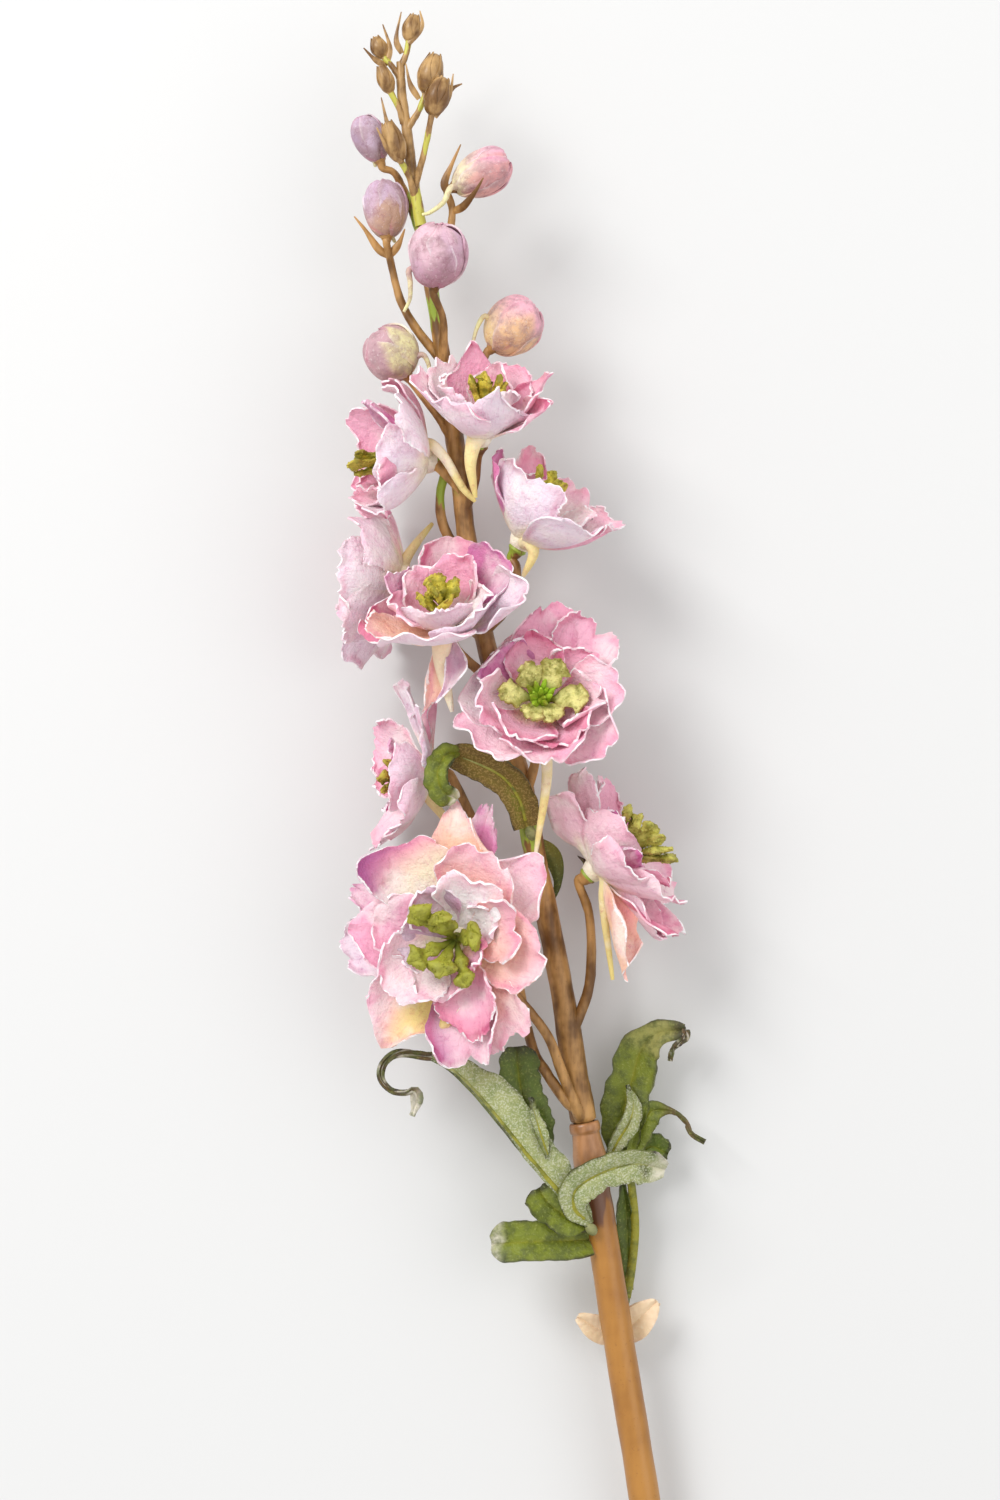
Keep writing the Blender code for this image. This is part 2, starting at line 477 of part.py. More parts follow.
def keep_main_body(mesh):
    """Fills hollows that fusing has sealed, and drops loose scraps."""
    shape = bmesh.new()
    shape.from_mesh(mesh)
    left = set(shape.faces)
    bodies = []
    while left:
        front = [left.pop()]
        body = list(front)
        while front:
            face = front.pop()
            for edge in face.edges:
                for other in edge.link_faces:
                    if other in left:
                        left.remove(other)
                        front.append(other)
                        body.append(other)
        bodies.append(body)
    main = max(bodies, key=signed_volume)
    for body in bodies:
        if body is not main:
            bmesh.ops.delete(shape, geom=body, context="FACES")
    bmesh.ops.delete(shape, geom=[vertex for vertex in shape.verts if not vertex.link_faces], context="VERTS")
    bmesh.ops.triangulate(shape, faces=shape.faces)
    shape.to_mesh(mesh)
    shape.free()


def is_sound(shape):
    """True if every edge has two faces that agree, and no two corners lie in one place."""
    if not all(edge.is_manifold and edge.is_contiguous for edge in shape.edges):
        return False
    places = np.round(np.array([vertex.co for vertex in shape.verts]) / CORNER_STEP)
    return len(np.unique(places, axis=0)) == len(shape.verts)


def drop_short_edges(mesh):
    """Closes up the shortest edges that fusing leaves, as far as the body stays sound."""
    for shortest in SHORTEST_EDGES:
        shape = bmesh.new()
        shape.from_mesh(mesh)
        bmesh.ops.dissolve_degenerate(shape, dist=shortest, edges=shape.edges)
        bmesh.ops.triangulate(shape, faces=shape.faces)
        sound = is_sound(shape)
        if sound:
            shape.to_mesh(mesh)
        shape.free()
        if sound:
            return


def fuse(name, pieces, solver="MANIFOLD"):
    """One body from the pieces: a Boolean union on a collection, applied."""
    core = pieces[0]
    joined = collection(name + "_pieces")
    for piece in pieces[1:]:
        WORKBENCH.objects.unlink(piece)
        joined.objects.link(piece)
    union = core.modifiers.new("fuse", "BOOLEAN")
    union.operation = "UNION"
    union.operand_type = "COLLECTION"
    union.collection = joined
    union.solver = solver
    depsgraph = bpy.context.evaluated_depsgraph_get()
    mesh = bpy.data.meshes.new_from_object(core.evaluated_get(depsgraph))
    for piece in [core, *joined.objects]:
        bpy.data.objects.remove(piece, do_unlink=True)
    bpy.data.collections.remove(joined)
    mesh.name = name
    keep_main_body(mesh)
    drop_short_edges(mesh)
    return mesh


def floor_slab():
    """Cutter that flattens what lies on the surface, so that it rests on small flats."""
    mesh = bpy.data.meshes.new("floor_slab")
    shape = bmesh.new()
    bmesh.ops.create_cube(shape, size=1.0)
    bmesh.ops.scale(shape, vec=Vector(FLOOR_SLAB) * MM, verts=shape.verts)
    bmesh.ops.translate(shape, vec=(0.0, 0.0, -FLOOR_SLAB[2] / 2 * MM), verts=shape.verts)
    shape.to_mesh(mesh)
    shape.free()
    slab = bpy.data.objects.new("floor_slab", mesh)
    slab.hide_render = True
    slab.display_type = "WIRE"
    CUTTERS.objects.link(slab)
    return slab


def finish(name, mesh, material):
    """The node's object, in metres, hung from the empty that lays the spray down."""
    mesh.transform(Matrix.Scale(MM, 4))
    mesh.materials.clear()
    mesh.materials.append(material)
    item = bpy.data.objects.new(name, mesh)
    SPRAY.objects.link(item)
    item.parent = LAY
    mesh.shade_smooth()
    mesh.set_sharp_from_angle(angle=math.radians(40))
    if name in GROUNDED:
        flat = item.modifiers.new("flat", "BOOLEAN")
        flat.operation = "DIFFERENCE"
        flat.object = SLAB
        flat.solver = "MANIFOLD"
    return item


def flower_frame(face):
    """The way the flower looks, its upward side and its right side."""
    out = unit(face)
    guide = np.array((0.0, 1.0, 0.0)) if abs(out[1]) < 0.9 else np.array((0.0, 0.0, 1.0))
    up = unit(guide - out * guide.dot(out))
    return out, up, np.cross(up, out)


def site_of(bloom):
    first = bloom["outer"][0]
    mean = math.radians((first[3] + first[4]) / 2)
    return np.array(bloom["base"]) + unit(bloom["face"]) * first[1] * math.cos(mean) * 0.6, bloom["reach"]


def press_planes(key):
    """Planes that keep this flower's petals off its neighbours: a point, an outward side and a limit."""
    centre, reach = site_of(BLOOMS[key])
    planes = []
    for other, bloom in BLOOMS.items():
        if other == key:
            continue
        far, far_reach = site_of(bloom)
        span = np.linalg.norm(far - centre)
        if span < reach + far_reach:
            limit = (span ** 2 + reach ** 2 - far_reach ** 2) / (2 * span)
            planes.append((centre, (far - centre) / span, limit - PRESS_MARGIN))
    for bud in BUDS.values():
        far = np.array(bud["centre"])
        span = np.linalg.norm(far - centre)
        limit = span - max(bud["size"]) / 2 - 2 * GAP
        if limit < reach + 4:
            planes.append((centre, (far - centre) / span, limit - PRESS_MARGIN))
    return planes


def press(points, planes, bloom):
    """Petals bend along the planes between flowers, and stay on their side of the axis."""
    flat = points.reshape(-1, 3).copy()
    for centre, side, limit in planes:
        over = (flat - centre) @ side - (limit - PRESS_BAND)
        eased = PRESS_BAND * (1 - np.exp(-np.maximum(over, 0) / PRESS_BAND))
        flat -= np.outer(np.where(over > 0, over - eased, 0.0), side)
    base = bloom["base"]
    axis_x, axis_z, _ = axis_at(base[1])
    side = unit((base[0] - axis_x, 0.0, base[2] - axis_z))
    for point in flat:
        centre_x, centre_z, radius = axis_at(point[1])
        depth = (point[0] - centre_x) * side[0] + (point[2] - centre_z) * side[2]
        over = radius + PRESS_MARGIN + PRESS_BAND - depth
        if over > 0:
            eased = PRESS_BAND * (1 - math.exp(-over / PRESS_BAND))
            point += side * (over - eased)
    return flat.reshape(points.shape)


def outline(u):
    """Half width of a petal, as a share of its widest, from claw to blunt tip."""
    claw, widest = 0.16, 0.68
    rising = claw + (1 - claw) * np.sin(np.pi / 2 * np.minimum(u / widest, 1.0)) ** 1.2
    falling = np.sqrt(1 - (np.maximum(u - widest, 0.0) / 0.46) ** 2)
    return rising * falling


def petal(bloom, sizes, level, index, cells):
    """Grid of points on a petal's middle surface: rows from root to tip, columns across."""
    clock, length, width, root_deg, tip_deg, lift = sizes
    out, up, right = flower_frame(bloom["face"])
    azimuth = math.radians(clock)
    radial = up * math.cos(azimuth) + right * math.sin(azimuth)
    across = np.cross(out, radial)
    tilt = (index % 2 - 0.5) * PETAL_STAGGER_DEG
    phase = 1.7 * index + 0.9 * level
    base = np.array(bloom["base"]) + out * ROOT_STEP * (level - 1)
    rows, columns = cells
    roll = math.radians(PETAL_ROLL_DEG)
    grid = np.zeros((rows + 1, columns + 1, 3))
    for i in range(rows + 1):
        u = i / rows
        for j in range(columns + 1):
            v = 2 * j / columns - 1
            reach = u * (1 - TIP_ROUNDING * v * v * u)
            steps = np.linspace(0, reach, 9)
            lean = np.radians(root_deg + tilt + (tip_deg - root_deg) * steps ** 1.1)
            run = reach * length * np.mean(np.sin(lean))
            rise = reach * length * np.mean(np.cos(lean))
            normal = out * math.sin(lean[-1]) - radial * math.cos(lean[-1])
            side = across * math.cos(roll) + normal * math.sin(roll)
            half = width / 2 * float(outline(np.array(u)))
            wave = RUFFLE * length * math.sin(phase + 3.1 * v) * u * u
            grid[i, j] = (
                base + radial * (ROOT_RADIUS + run) + out * rise
                + side * half * v + normal * (lift * half * v * v + wave)
            )
    return grid


def bloom_node(key):
    bloom = BLOOMS[key]
    planes = press_planes(key)
    out = unit(bloom["face"])
    base = np.array(bloom["base"])
    back, front = base - out * RECEPTACLE_BACK, base + out * RECEPTACLE_FRONT
    pieces = [rod("receptacle", back, front, RECEPTACLE_RADIUS * 0.75, RECEPTACLE_RADIUS, 8)]
    for level, ring in enumerate((bloom["outer"], bloom["inner"])):
        for index, sizes in enumerate(ring):
            grid = petal(bloom, sizes, level, index, (3, 2))
            root = grid[:1].copy()
            grid = press(grid, planes, bloom)
            grid[:1] = root
            pieces.append(sheet(f"petal_{level}_{index}", grid, SHEET))
    path = smooth_path([tuple(base - out * 0.8), *bloom["spur"]], 1)
    pieces.append(tube("spur", path, np.linspace(1.5, 0.5, len(path))))
    return finish("bloom_" + key, fuse("bloom_" + key, pieces), PETAL)


def stamen_node(key):
    """A button with thick arms, each swelling to a lumpy anther."""
    bloom = BLOOMS[key]
    out = unit(bloom["face"])
    foot = np.array(bloom["base"]) + out * (RECEPTACLE_FRONT + GAP)
    pieces = [rod("button", foot, foot + out * 2.0, 1.3, 1.0, 5)]
    thick = ANTHER_RADIUS.get(key, SMALL_ANTHER_RADIUS)
    for index, arm in enumerate(bloom["arms"]):
        start = foot + out
        end = np.array(arm)
        along = unit(end - start)
        path = [start, end - along * 4.2, end - along * 1.8, end]
        pieces.append(tube(f"stamen_{index}", path, (0.6, 0.6, thick, 0.6), 0))
    return finish("stamens_" + key, fuse("stamens_" + key, pieces), STAMEN)


def bud_surface(item, furrows, depth):
    """Shallow spiral furrows, where the closed petals overlap, and a narrower foot."""
    for vertex in item.data.vertices:
        place = vertex.co
        turn = math.atan2(place.y, place.x) + place.z * 0.9
        radius = math.hypot(place.x, place.y)
        pinch = 1 - depth * abs(math.sin(furrows * turn / 2)) ** 3 * min(radius * 1.5, 1.0)
        pinch *= 1 + BUD_TAPER * place.z
        vertex.co = Vector((place.x * pinch, place.y * pinch, place.z))


def bud_node(key):
    bud = BUDS[key]
    name = "bud_" + key
    direction = unit(bud["face"])
    mesh = bpy.data.meshes.new(name)
    shape = bmesh.new()
    bmesh.ops.create_uvsphere(shape, u_segments=12, v_segments=6, radius=1.0)
    shape.to_mesh(mesh)
    shape.free()
    body = new_object(name, mesh)
    bud_surface(body, 3, 0.14)
    width, height = bud["size"]
    mesh.transform(Matrix.Diagonal((width / 2, width / 2, height / 2, 1.0)))
    mesh.transform(frame_along(direction, bud["centre"]))
    centre = np.array(bud["centre"])
    front = np.array((0.0, 0.0, 1.0))
    side = unit(np.cross(direction, front))
    path = [centre - direction * height * 0.36 + side * 1.0]
    path += [centre + side * across + direction * along + front * forward for across, along, forward in bud["spur"]]
    path = smooth_path(path, 2)
    spur = tube("spur", path, np.linspace(1.0, 0.42, len(path)))
    return finish(name, fuse(name, [body, spur]), BUD)


def bract(name, route, width):
    """A narrow pointed bract along its route, its flat side up."""
    grid = np.zeros((len(route), 2, 3))
    for i, place in enumerate(route):
        u = i / (len(route) - 1)
        along = unit(np.subtract(route[min(i + 1, len(route) - 1)], route[max(i - 1, 0)]))
        side = unit(np.cross(along, (0.0, 0.0, 1.0)))
        half = width / 2 * (1 - 0.66 * u * u)
        for j in range(2):
            grid[i, j] = np.asarray(place) + side * half * (2 * j - 1)
    return sheet(name, grid, SHEET)


def foot_of(centre, size, face):
    return np.array(centre) - unit(face) * (size[1] / 2)


def flared_stalk(name, route, seat, out, radii, flare):
    """A stalk that widens to a flat calyx at its seat. radii are at its root and at its neck."""
    route = [*route, tuple(seat - out * flare * 1.3), tuple(seat - out * flare * 0.45), tuple(seat)]
    widths = [*np.linspace(radii[0], radii[1], len(route) - 2), flare, flare * 0.95]
    return tube(name, route, widths, 1 if flare > 2 else 0)


def spike_axis_node():
    path = smooth_path([point[:3] for point in AXIS], 1)
    start, end = np.array(SLEEVE_HEAD), np.array(SLEEVE_FOOT)
    along = unit(end - start)
    peg = rod("peg", start - along * 3.0, start + along * PEG_DEPTH, PEG_RADIUS, PEG_RADIUS, 10)
    pieces = [tube("axis", path, [point[3] for point in AXIS], 2), peg]
    for key, bloom in BLOOMS.items():
        out = unit(bloom["face"])
        seat = np.array(bloom["base"]) - out * (RECEPTACLE_BACK + GAP)
        pieces.append(flared_stalk("stalk_" + key, bloom["stalk"], seat, out, (1.25, 0.95), CALYX_RADIUS))
    for key, bud in BUDS.items():
        out = unit(bud["face"])
        seat = foot_of(bud["centre"], bud["size"], bud["face"]) - out * GAP
        pieces.append(flared_stalk("bud_stalk_" + key, bud["stalk"], seat, out, (1.05, 0.75), 1.5))
        for index, route in enumerate(bud.get("bracts", ())):
            pieces.append(bract(f"bract_{key}_{index}", route, BRACT_WIDTH))
    pieces.append(bract("axis_bract", AXIS_BRACT, AXIS_BRACT_WIDTH))
    return finish("spike_axis", fuse("spike_axis", pieces), STALK)


def spike_tip_node():
    path = smooth_path([point[:3] for point in TIP_AXIS], 1)
    pieces = [tube("tip_axis", path, [point[3] for point in TIP_AXIS])]
    for index, (centre, size, face, leave, bracts) in enumerate(TIP_BUDS):
        out = unit(face)
        foot = foot_of(centre, size, face)
        stalk = smooth_path([leave, tuple((np.array(leave) + foot) / 2 + (0.4, 0.0, 0.4)), tuple(foot + out)], 1)
        pieces.append(tube(f"stalk_{index}", stalk, np.linspace(0.75, 0.6, len(stalk)), 0))
        pieces.append(ball(f"bud_{index}", centre, (size[0] / 2, size[1] / 2), out, (6, 4)))
        for turn, route in enumerate(bracts):
            pieces.append(bract(f"bract_{index}_{turn}", route, BRACT_WIDTH))
    return finish("spike_tip", fuse("spike_tip", pieces), TIP)


def lobe(name, midline, halves, face, teeth, thickness):
    """One leaf lobe: a folded blade along its midline, with coarse teeth on both edges."""
    spans = 2 if len(midline) < LONG_MIDLINE else 1
    path = smooth_path(midline, spans)
    rows = len(path) - 1
    grid = np.zeros((rows + 1, 3, 3))
    for i, place in enumerate(path):
        u = i / rows
        ahead = path[min(i + 1, rows)] - path[max(i - 1, 0)]
        along = unit(ahead)
        side = unit(np.cross(along, unit(face)))
        normal = np.cross(side, along)
        shape = 0.16 + 0.84 * max(math.sin(math.pi * min(u * 1.02, 1.0)), 0.0) ** 0.7
        shape *= 1 + (teeth if i % 2 else -teeth) * min(u * 3, 1)
        shape *= 1 - u ** 6 * 0.5
        for j in range(3):
            v = j - 1
            half = max(halves[j // 2] * shape, 0.6)
            grid[i, j] = place + side * half * v + normal * 0.22 * half * abs(v)
    return sheet(name, grid, thickness)


def leaf_node(name, material):
    leaf = LEAVES[name]
    first = leaf["lobes"][0][0]
    pieces = [ball("knob", leaf["knob"], (1.5, 1.6), np.array(first[1]) - np.array(first[0]), (6, 4))]
    if "stalk" in leaf:
        stalk = smooth_path(leaf["stalk"], 2)
        pieces.append(tube("stalk", stalk, np.linspace(1.2, 1.0, len(stalk))))
    for index, (midline, halves, face) in enumerate(leaf["lobes"]):
        pieces.append(lobe(f"lobe_{index}", midline, halves, face, LEAF_TEETH, LEAF_SHEET))
    return finish(name, fuse(name, pieces), material)


def lower_stem_nodes():
    path = smooth_path(LOWER, 1)
    radii = np.full(len(path), LOWER_RADIUS)
    along = unit(np.array(SLEEVE_HEAD) - np.array(SLEEVE_FOOT))
    foot = np.array(SLEEVE_FOOT)
    path[0] = foot - along * GAP
    peg = rod("peg", foot - along * 3.0, foot + along * PEG_DEPTH, PEG_RADIUS, PEG_RADIUS, 12)
    stem = new_object("stem_lower", fuse("stem_lower", [tube("stem", path, radii, 4), peg]))
    bore_path = np.vstack([foot + along * (PEG_DEPTH + 2), path[0], path[1:], 2 * path[-1] - path[-2]])
    bore = tube("wire_bore", bore_path, np.full(len(bore_path), WIRE_BORE), 2)
    cut = stem.modifiers.new("bore", "BOOLEAN")
    cut.operation = "DIFFERENCE"
    cut.object = bore
    depsgraph = bpy.context.evaluated_depsgraph_get()
    mesh = bpy.data.meshes.new_from_object(stem.evaluated_get(depsgraph))
    bpy.data.objects.remove(stem, do_unlink=True)
    bpy.data.objects.remove(bore, do_unlink=True)
    finish("stem_lower", mesh, LOWER_PAINT)
    wire_path = np.vstack([foot + along * (PEG_DEPTH - 0.5), path[0], path[1:]])
    wire = tube("stem_wire", wire_path, np.full(len(wire_path), WIRE_RADIUS), 2)
    mesh = wire.data
    bpy.data.objects.remove(wire, do_unlink=True)
    finish("stem_wire", mesh, WIRE)


def sleeve_node():
    """A turned sleeve with a collar ring at its head and a bore right through."""
    foot, head = np.array(SLEEVE_FOOT), np.array(SLEEVE_HEAD)
    length = float(np.linalg.norm(head - foot)) - GAP
    profile = [
        (SLEEVE_BORE, length), (3.1, length), (3.3, length - 0.6), (3.3, length - 1.8), (2.95, length - 2.4),
        (3.15, length * 0.62), (3.75, length * 0.36), (3.7, length * 0.16), (3.2, 0.0), (SLEEVE_BORE, 0.0),
    ]
    mesh = bpy.data.meshes.new("stem_sleeve")
    count = len(profile)
    edges = [(i, (i + 1) % count) for i in range(count)]
    mesh.from_pydata([(radius, 0.0, height) for radius, height in profile], edges, [])
    item = new_object("stem_sleeve", mesh)
    turned = item.modifiers.new("turned", "SCREW")
    turned.steps = 16
    turned.render_steps = 16
    turned.use_merge_vertices = True
    turned.merge_threshold = 0.0001
    depsgraph = bpy.context.evaluated_depsgraph_get()
    made = bpy.data.meshes.new_from_object(item.evaluated_get(depsgraph))
    bpy.data.objects.remove(item, do_unlink=True)
    made.transform(frame_along(head - foot, foot))
    finish("stem_sleeve", made, STALK)


def build():
    lower_stem_nodes()
    sleeve_node()
    spike_axis_node()
    spike_tip_node()
    for key in BUDS:
        bud_node(key)
    for key in BLOOMS:
        bloom_node(key)
        stamen_node(key)
    for name in LEAVES:
        leaf_node(name, BRACT if name == "base_bract" else LEAF)


clear_scene()
SPRAY = collection("delphinium_stem")
WORKBENCH = collection("workbench")
LAY = bpy.data.objects.new("lay", None)
SPRAY.objects.link(LAY)
CUTTERS = collection("cutters")
SLAB = floor_slab()
LAY.rotation_euler = (math.radians(LAY_PITCH_DEG), math.radians(LAY_ROLL_DEG), 0.0)
LAY.location = Vector(LAY_OFFSET) * MM
PETAL = principled("petal", COLOURS["petal"], 0.75)
STAMEN = principled("stamen", COLOURS["stamen"], 0.6)
BUD = principled("bud", COLOURS["bud"], 0.7)
STALK = principled("stalk", COLOURS["axis"], 0.55)
TIP = principled("tip", COLOURS["tip"], 0.5)
LOWER_PAINT = principled("lower_paint", COLOURS["lower"], 0.45)
LEAF = principled("leaf", COLOURS["leaf"], 0.7)
BRACT = principled("bract", COLOURS["bract"], 0.7)
WIRE = principled("wire", COLOURS["wire"], 0.35, 1.0)
build()
bpy.data.collections.remove(WORKBENCH)
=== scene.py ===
import math
import random

import bpy
import numpy as np
from mathutils import Euler, Matrix, Vector


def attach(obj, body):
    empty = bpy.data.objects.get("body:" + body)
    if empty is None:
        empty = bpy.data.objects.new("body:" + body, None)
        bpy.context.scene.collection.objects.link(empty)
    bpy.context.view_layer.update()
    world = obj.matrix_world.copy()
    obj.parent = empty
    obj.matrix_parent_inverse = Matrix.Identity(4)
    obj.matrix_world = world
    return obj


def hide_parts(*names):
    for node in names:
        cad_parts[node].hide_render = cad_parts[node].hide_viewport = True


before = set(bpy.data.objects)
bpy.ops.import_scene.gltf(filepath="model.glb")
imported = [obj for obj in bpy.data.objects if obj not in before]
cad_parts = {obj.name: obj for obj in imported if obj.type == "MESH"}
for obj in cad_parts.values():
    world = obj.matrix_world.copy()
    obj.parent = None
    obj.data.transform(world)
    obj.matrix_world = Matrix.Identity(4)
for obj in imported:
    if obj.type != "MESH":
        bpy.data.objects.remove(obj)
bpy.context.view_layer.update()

# the spray is drawn in millimetres, stem up the page, then laid on the surface
millimetre = 0.001
layTurn = Euler((math.radians(3.228), math.radians(0.573), 0.0)).to_matrix()
layShift = np.array((-8.05, -67.99, 12.38))
floorGap = 0.0003  # metres that a piece keeps above the floor


def laid(points):
    return (np.asarray(points, float) @ np.array(layTurn).T + layShift) * millimetre


def unit(vectors):
    vectors = np.asarray(vectors, float)
    return vectors / np.maximum(np.linalg.norm(vectors, axis=-1, keepdims=True), 1e-9)


def paint(red, green, blue):  # screen colour to linear
    channels = np.array((red, green, blue), float)
    return np.where(channels <= 0.04045, channels / 12.92, ((channels + 0.055) / 1.055) ** 2.4)


def ease(low, high, value):
    t = np.clip((value - low) / (high - low), 0.0, 1.0)
    return t * t * (3 - 2 * t)


def blendOf(first, second, amount):
    amount = np.asarray(amount, float)[..., None]
    return first * (1 - amount) + second * amount


def smoothPath(points, spans):
    points = np.asarray(points, float)
    padded = np.vstack([2 * points[0] - points[1], points, 2 * points[-1] - points[-2]])
    path = []
    for index in range(1, len(padded) - 2):
        before, start, end, after = padded[index - 1:index + 3]
        for step in range(spans):
            t = step / spans
            path.append(0.5 * (
                2 * start + (end - before) * t + (2 * before - 5 * start + 4 * end - after) * t * t
                + (3 * start - before - 3 * end + after) * t ** 3
            ))
    path.append(points[-1])
    return np.array(path)


def sampled(path, marks, at):  # the path at other marks than its own
    return np.stack([np.interp(at, marks, path[:, axis]) for axis in range(3)], -1)


def ripple(draw, waves, count):  # count samples of smooth noise from -1 to 1 along a line
    line = np.linspace(0, 1, count)
    total = np.zeros(count)
    for wave in waves:
        total += draw.uniform(0.5, 1) * np.sin(2 * np.pi * (wave * line + draw.random()))
    return total / (0.75 * len(waves))


# materials

def fill(tree, node, inputs):  # a socket is linked, anything else is the input's value
    for key, value in inputs.items():
        if hasattr(value, "is_linked"):
            tree.links.new(value, node.inputs[key])
        else:
            node.inputs[key].default_value = value


def addNode(tree, kind, inputs=None, **settings):
    node = tree.nodes.new(kind)
    for name, value in settings.items():
        setattr(node, name, value)
    fill(tree, node, inputs or {})
    return node


def newMaterial(name):
    material = bpy.data.materials.new(name)
    material.use_nodes = True
    return material, material.node_tree, material.node_tree.nodes["Principled BSDF"]


def placeOf(tree):
    return addNode(tree, "ShaderNodeTexCoord").outputs["Object"]


def stretched(tree, vector, scale):
    return addNode(tree, "ShaderNodeMapping", {"Vector": vector, "Scale": scale}).outputs["Vector"]


def attributeOf(tree, name, output="Fac"):
    return addNode(tree, "ShaderNodeAttribute", attribute_name=name).outputs[output]


def mixColour(tree, factor, first, second, kind="MIX"):
    first, second = (value if hasattr(value, "is_linked") else (*value, 1.0) for value in (first, second))
    inputs = {0: factor, 6: first, 7: second}
    return addNode(tree, "ShaderNodeMix", inputs, data_type="RGBA", blend_type=kind).outputs[2]


def noiseOf(tree, vector, scale, detail=3.0, rough=0.55):
    inputs = {"Vector": vector, "Scale": scale, "Detail": detail, "Roughness": rough}
    return addNode(tree, "ShaderNodeTexNoise", inputs).outputs["Fac"]


def rangeOf(tree, value, low, high, toLow=0.0, toHigh=1.0):
    inputs = {"Value": value, "From Min": low, "From Max": high, "To Min": toLow, "To Max": toHigh}
    return addNode(tree, "ShaderNodeMapRange", inputs, interpolation_type="SMOOTHSTEP").outputs["Result"]


def mathOf(tree, operation, first, second):
    return addNode(tree, "ShaderNodeMath", {0: first, 1: second}, operation=operation).outputs[0]


def weighed(tree, *shares):  # each value times its weight, added up
    total = None
    for value, weight in shares:
        part = mathOf(tree, "MULTIPLY", value, weight)
        total = part if total is None else mathOf(tree, "ADD", total, part)
    return total


def wrinkleOf(tree, vector, scale, width):  # thin winding lines, 1 on the line
    swirl = noiseOf(tree, vector, scale, 3.0, 0.6)
    away = mathOf(tree, "ABSOLUTE", mathOf(tree, "SUBTRACT", swirl, 0.5), 0.0)
    return rangeOf(tree, away, 0.0, width, 1.0, 0.0)


def bumpOf(tree, shader, layers):
    below = {}
    for height, strength, distance in layers:
        inputs = {"Height": height, "Strength": strength, "Distance": distance, **below}
        below = {"Normal": addNode(tree, "ShaderNodeBump", inputs).outputs["Normal"]}
    fill(tree, shader, below)


petalLook = {
    "frostWhite": paint(0.985, 0.965, 0.97), "fade": paint(0.99, 0.95, 0.93), "stain": (0.92, 0.82, 0.88),
    "veinShade": (0.86, 0.70, 0.80), "wrinkleShade": (0.80, 0.62, 0.74),
    "roughness": 0.84, "shine": 0.3, "glow": 0.18, "glowRadius": (0.003, 0.0016, 0.0018),
    # scale, detail and roughness of the noise behind each mark
    "veins": (16.0, 4.0, 0.65), "wash": (105.0, 3.0, 0.55), "stains": (380.0, 5.0, 0.65),
    "patches": (620.0, 3.0, 0.6), "grain": (2600.0, 2.0, 0.6), "crush": (520.0, 4.0, 0.65),
    "wrinkles": (300.0, 0.022),  # scale and width
}


def petalMaterial():
    material, tree, shader = newMaterial("petalPaper")
    place = placeOf(tree)
    sheetMap = addNode(tree, "ShaderNodeUVMap", uv_map="sheetMap").outputs["UV"]
    veins = noiseOf(tree, stretched(tree, sheetMap, (1.0, 0.16, 1.0)), *petalLook["veins"])
    wash, stains, patches, grain, crush = (
        noiseOf(tree, place, *petalLook[name]) for name in ("wash", "stains", "patches", "grain", "crush")
    )
    wrinkles = wrinkleOf(tree, place, *petalLook["wrinkles"])
    dirt = rangeOf(tree, stains, 0.50, 0.68, 0.0, 0.8)
    faded = rangeOf(tree, wash, 0.46, 0.66, 0.0, 0.5)
    colour = mixColour(tree, faded, attributeOf(tree, "tint", "Color"), petalLook["fade"])
    for mask, shade in (
        (dirt, "stain"), (rangeOf(tree, veins, 0.53, 0.66, 0.0, 0.5), "veinShade"),
        (mathOf(tree, "MULTIPLY", wrinkles, dirt), "wrinkleShade"),
    ):
        darker = mixColour(tree, 1.0, colour, petalLook[shade], "MULTIPLY")
        colour = mixColour(tree, mask, colour, darker)
    torn = weighed(tree, (attributeOf(tree, "frost"), 0.62), (patches, 0.75), (grain, 0.30))
    colour = mixColour(tree, rangeOf(tree, torn, 0.86, 1.02), colour, petalLook["frostWhite"])
    fill(tree, shader, {
        "Base Color": colour, "Roughness": petalLook["roughness"], "Specular IOR Level": petalLook["shine"],
        "Subsurface Weight": petalLook["glow"], "Subsurface Radius": petalLook["glowRadius"],
        "Subsurface Scale": 1.0,
    })
    bumpOf(tree, shader, (
        (grain, 0.4, 0.00015), (crush, 0.8, 0.0008), (veins, 0.5, 0.0004), (wrinkles, -0.5, 0.0003),
        (torn, 0.6, 0.0003),
    ))
    return material


def frostMaterial():  # raw cut edges of the petals
    material, tree, shader = newMaterial("frostedEdge")
    place = placeOf(tree)
    grain = noiseOf(tree, place, 1900.0, 3.0, 0.7)
    patches = rangeOf(tree, noiseOf(tree, place, 430.0, 3.0, 0.6), 0.42, 0.60, 0.30, 0.95)
    colour = mixColour(tree, patches, attributeOf(tree, "tint", "Color"), petalLook["frostWhite"])
    fill(tree, shader, {"Base Color": colour, "Roughness": 0.9})
    bumpOf(tree, shader, ((grain, 0.8, 0.0003),))
    return material


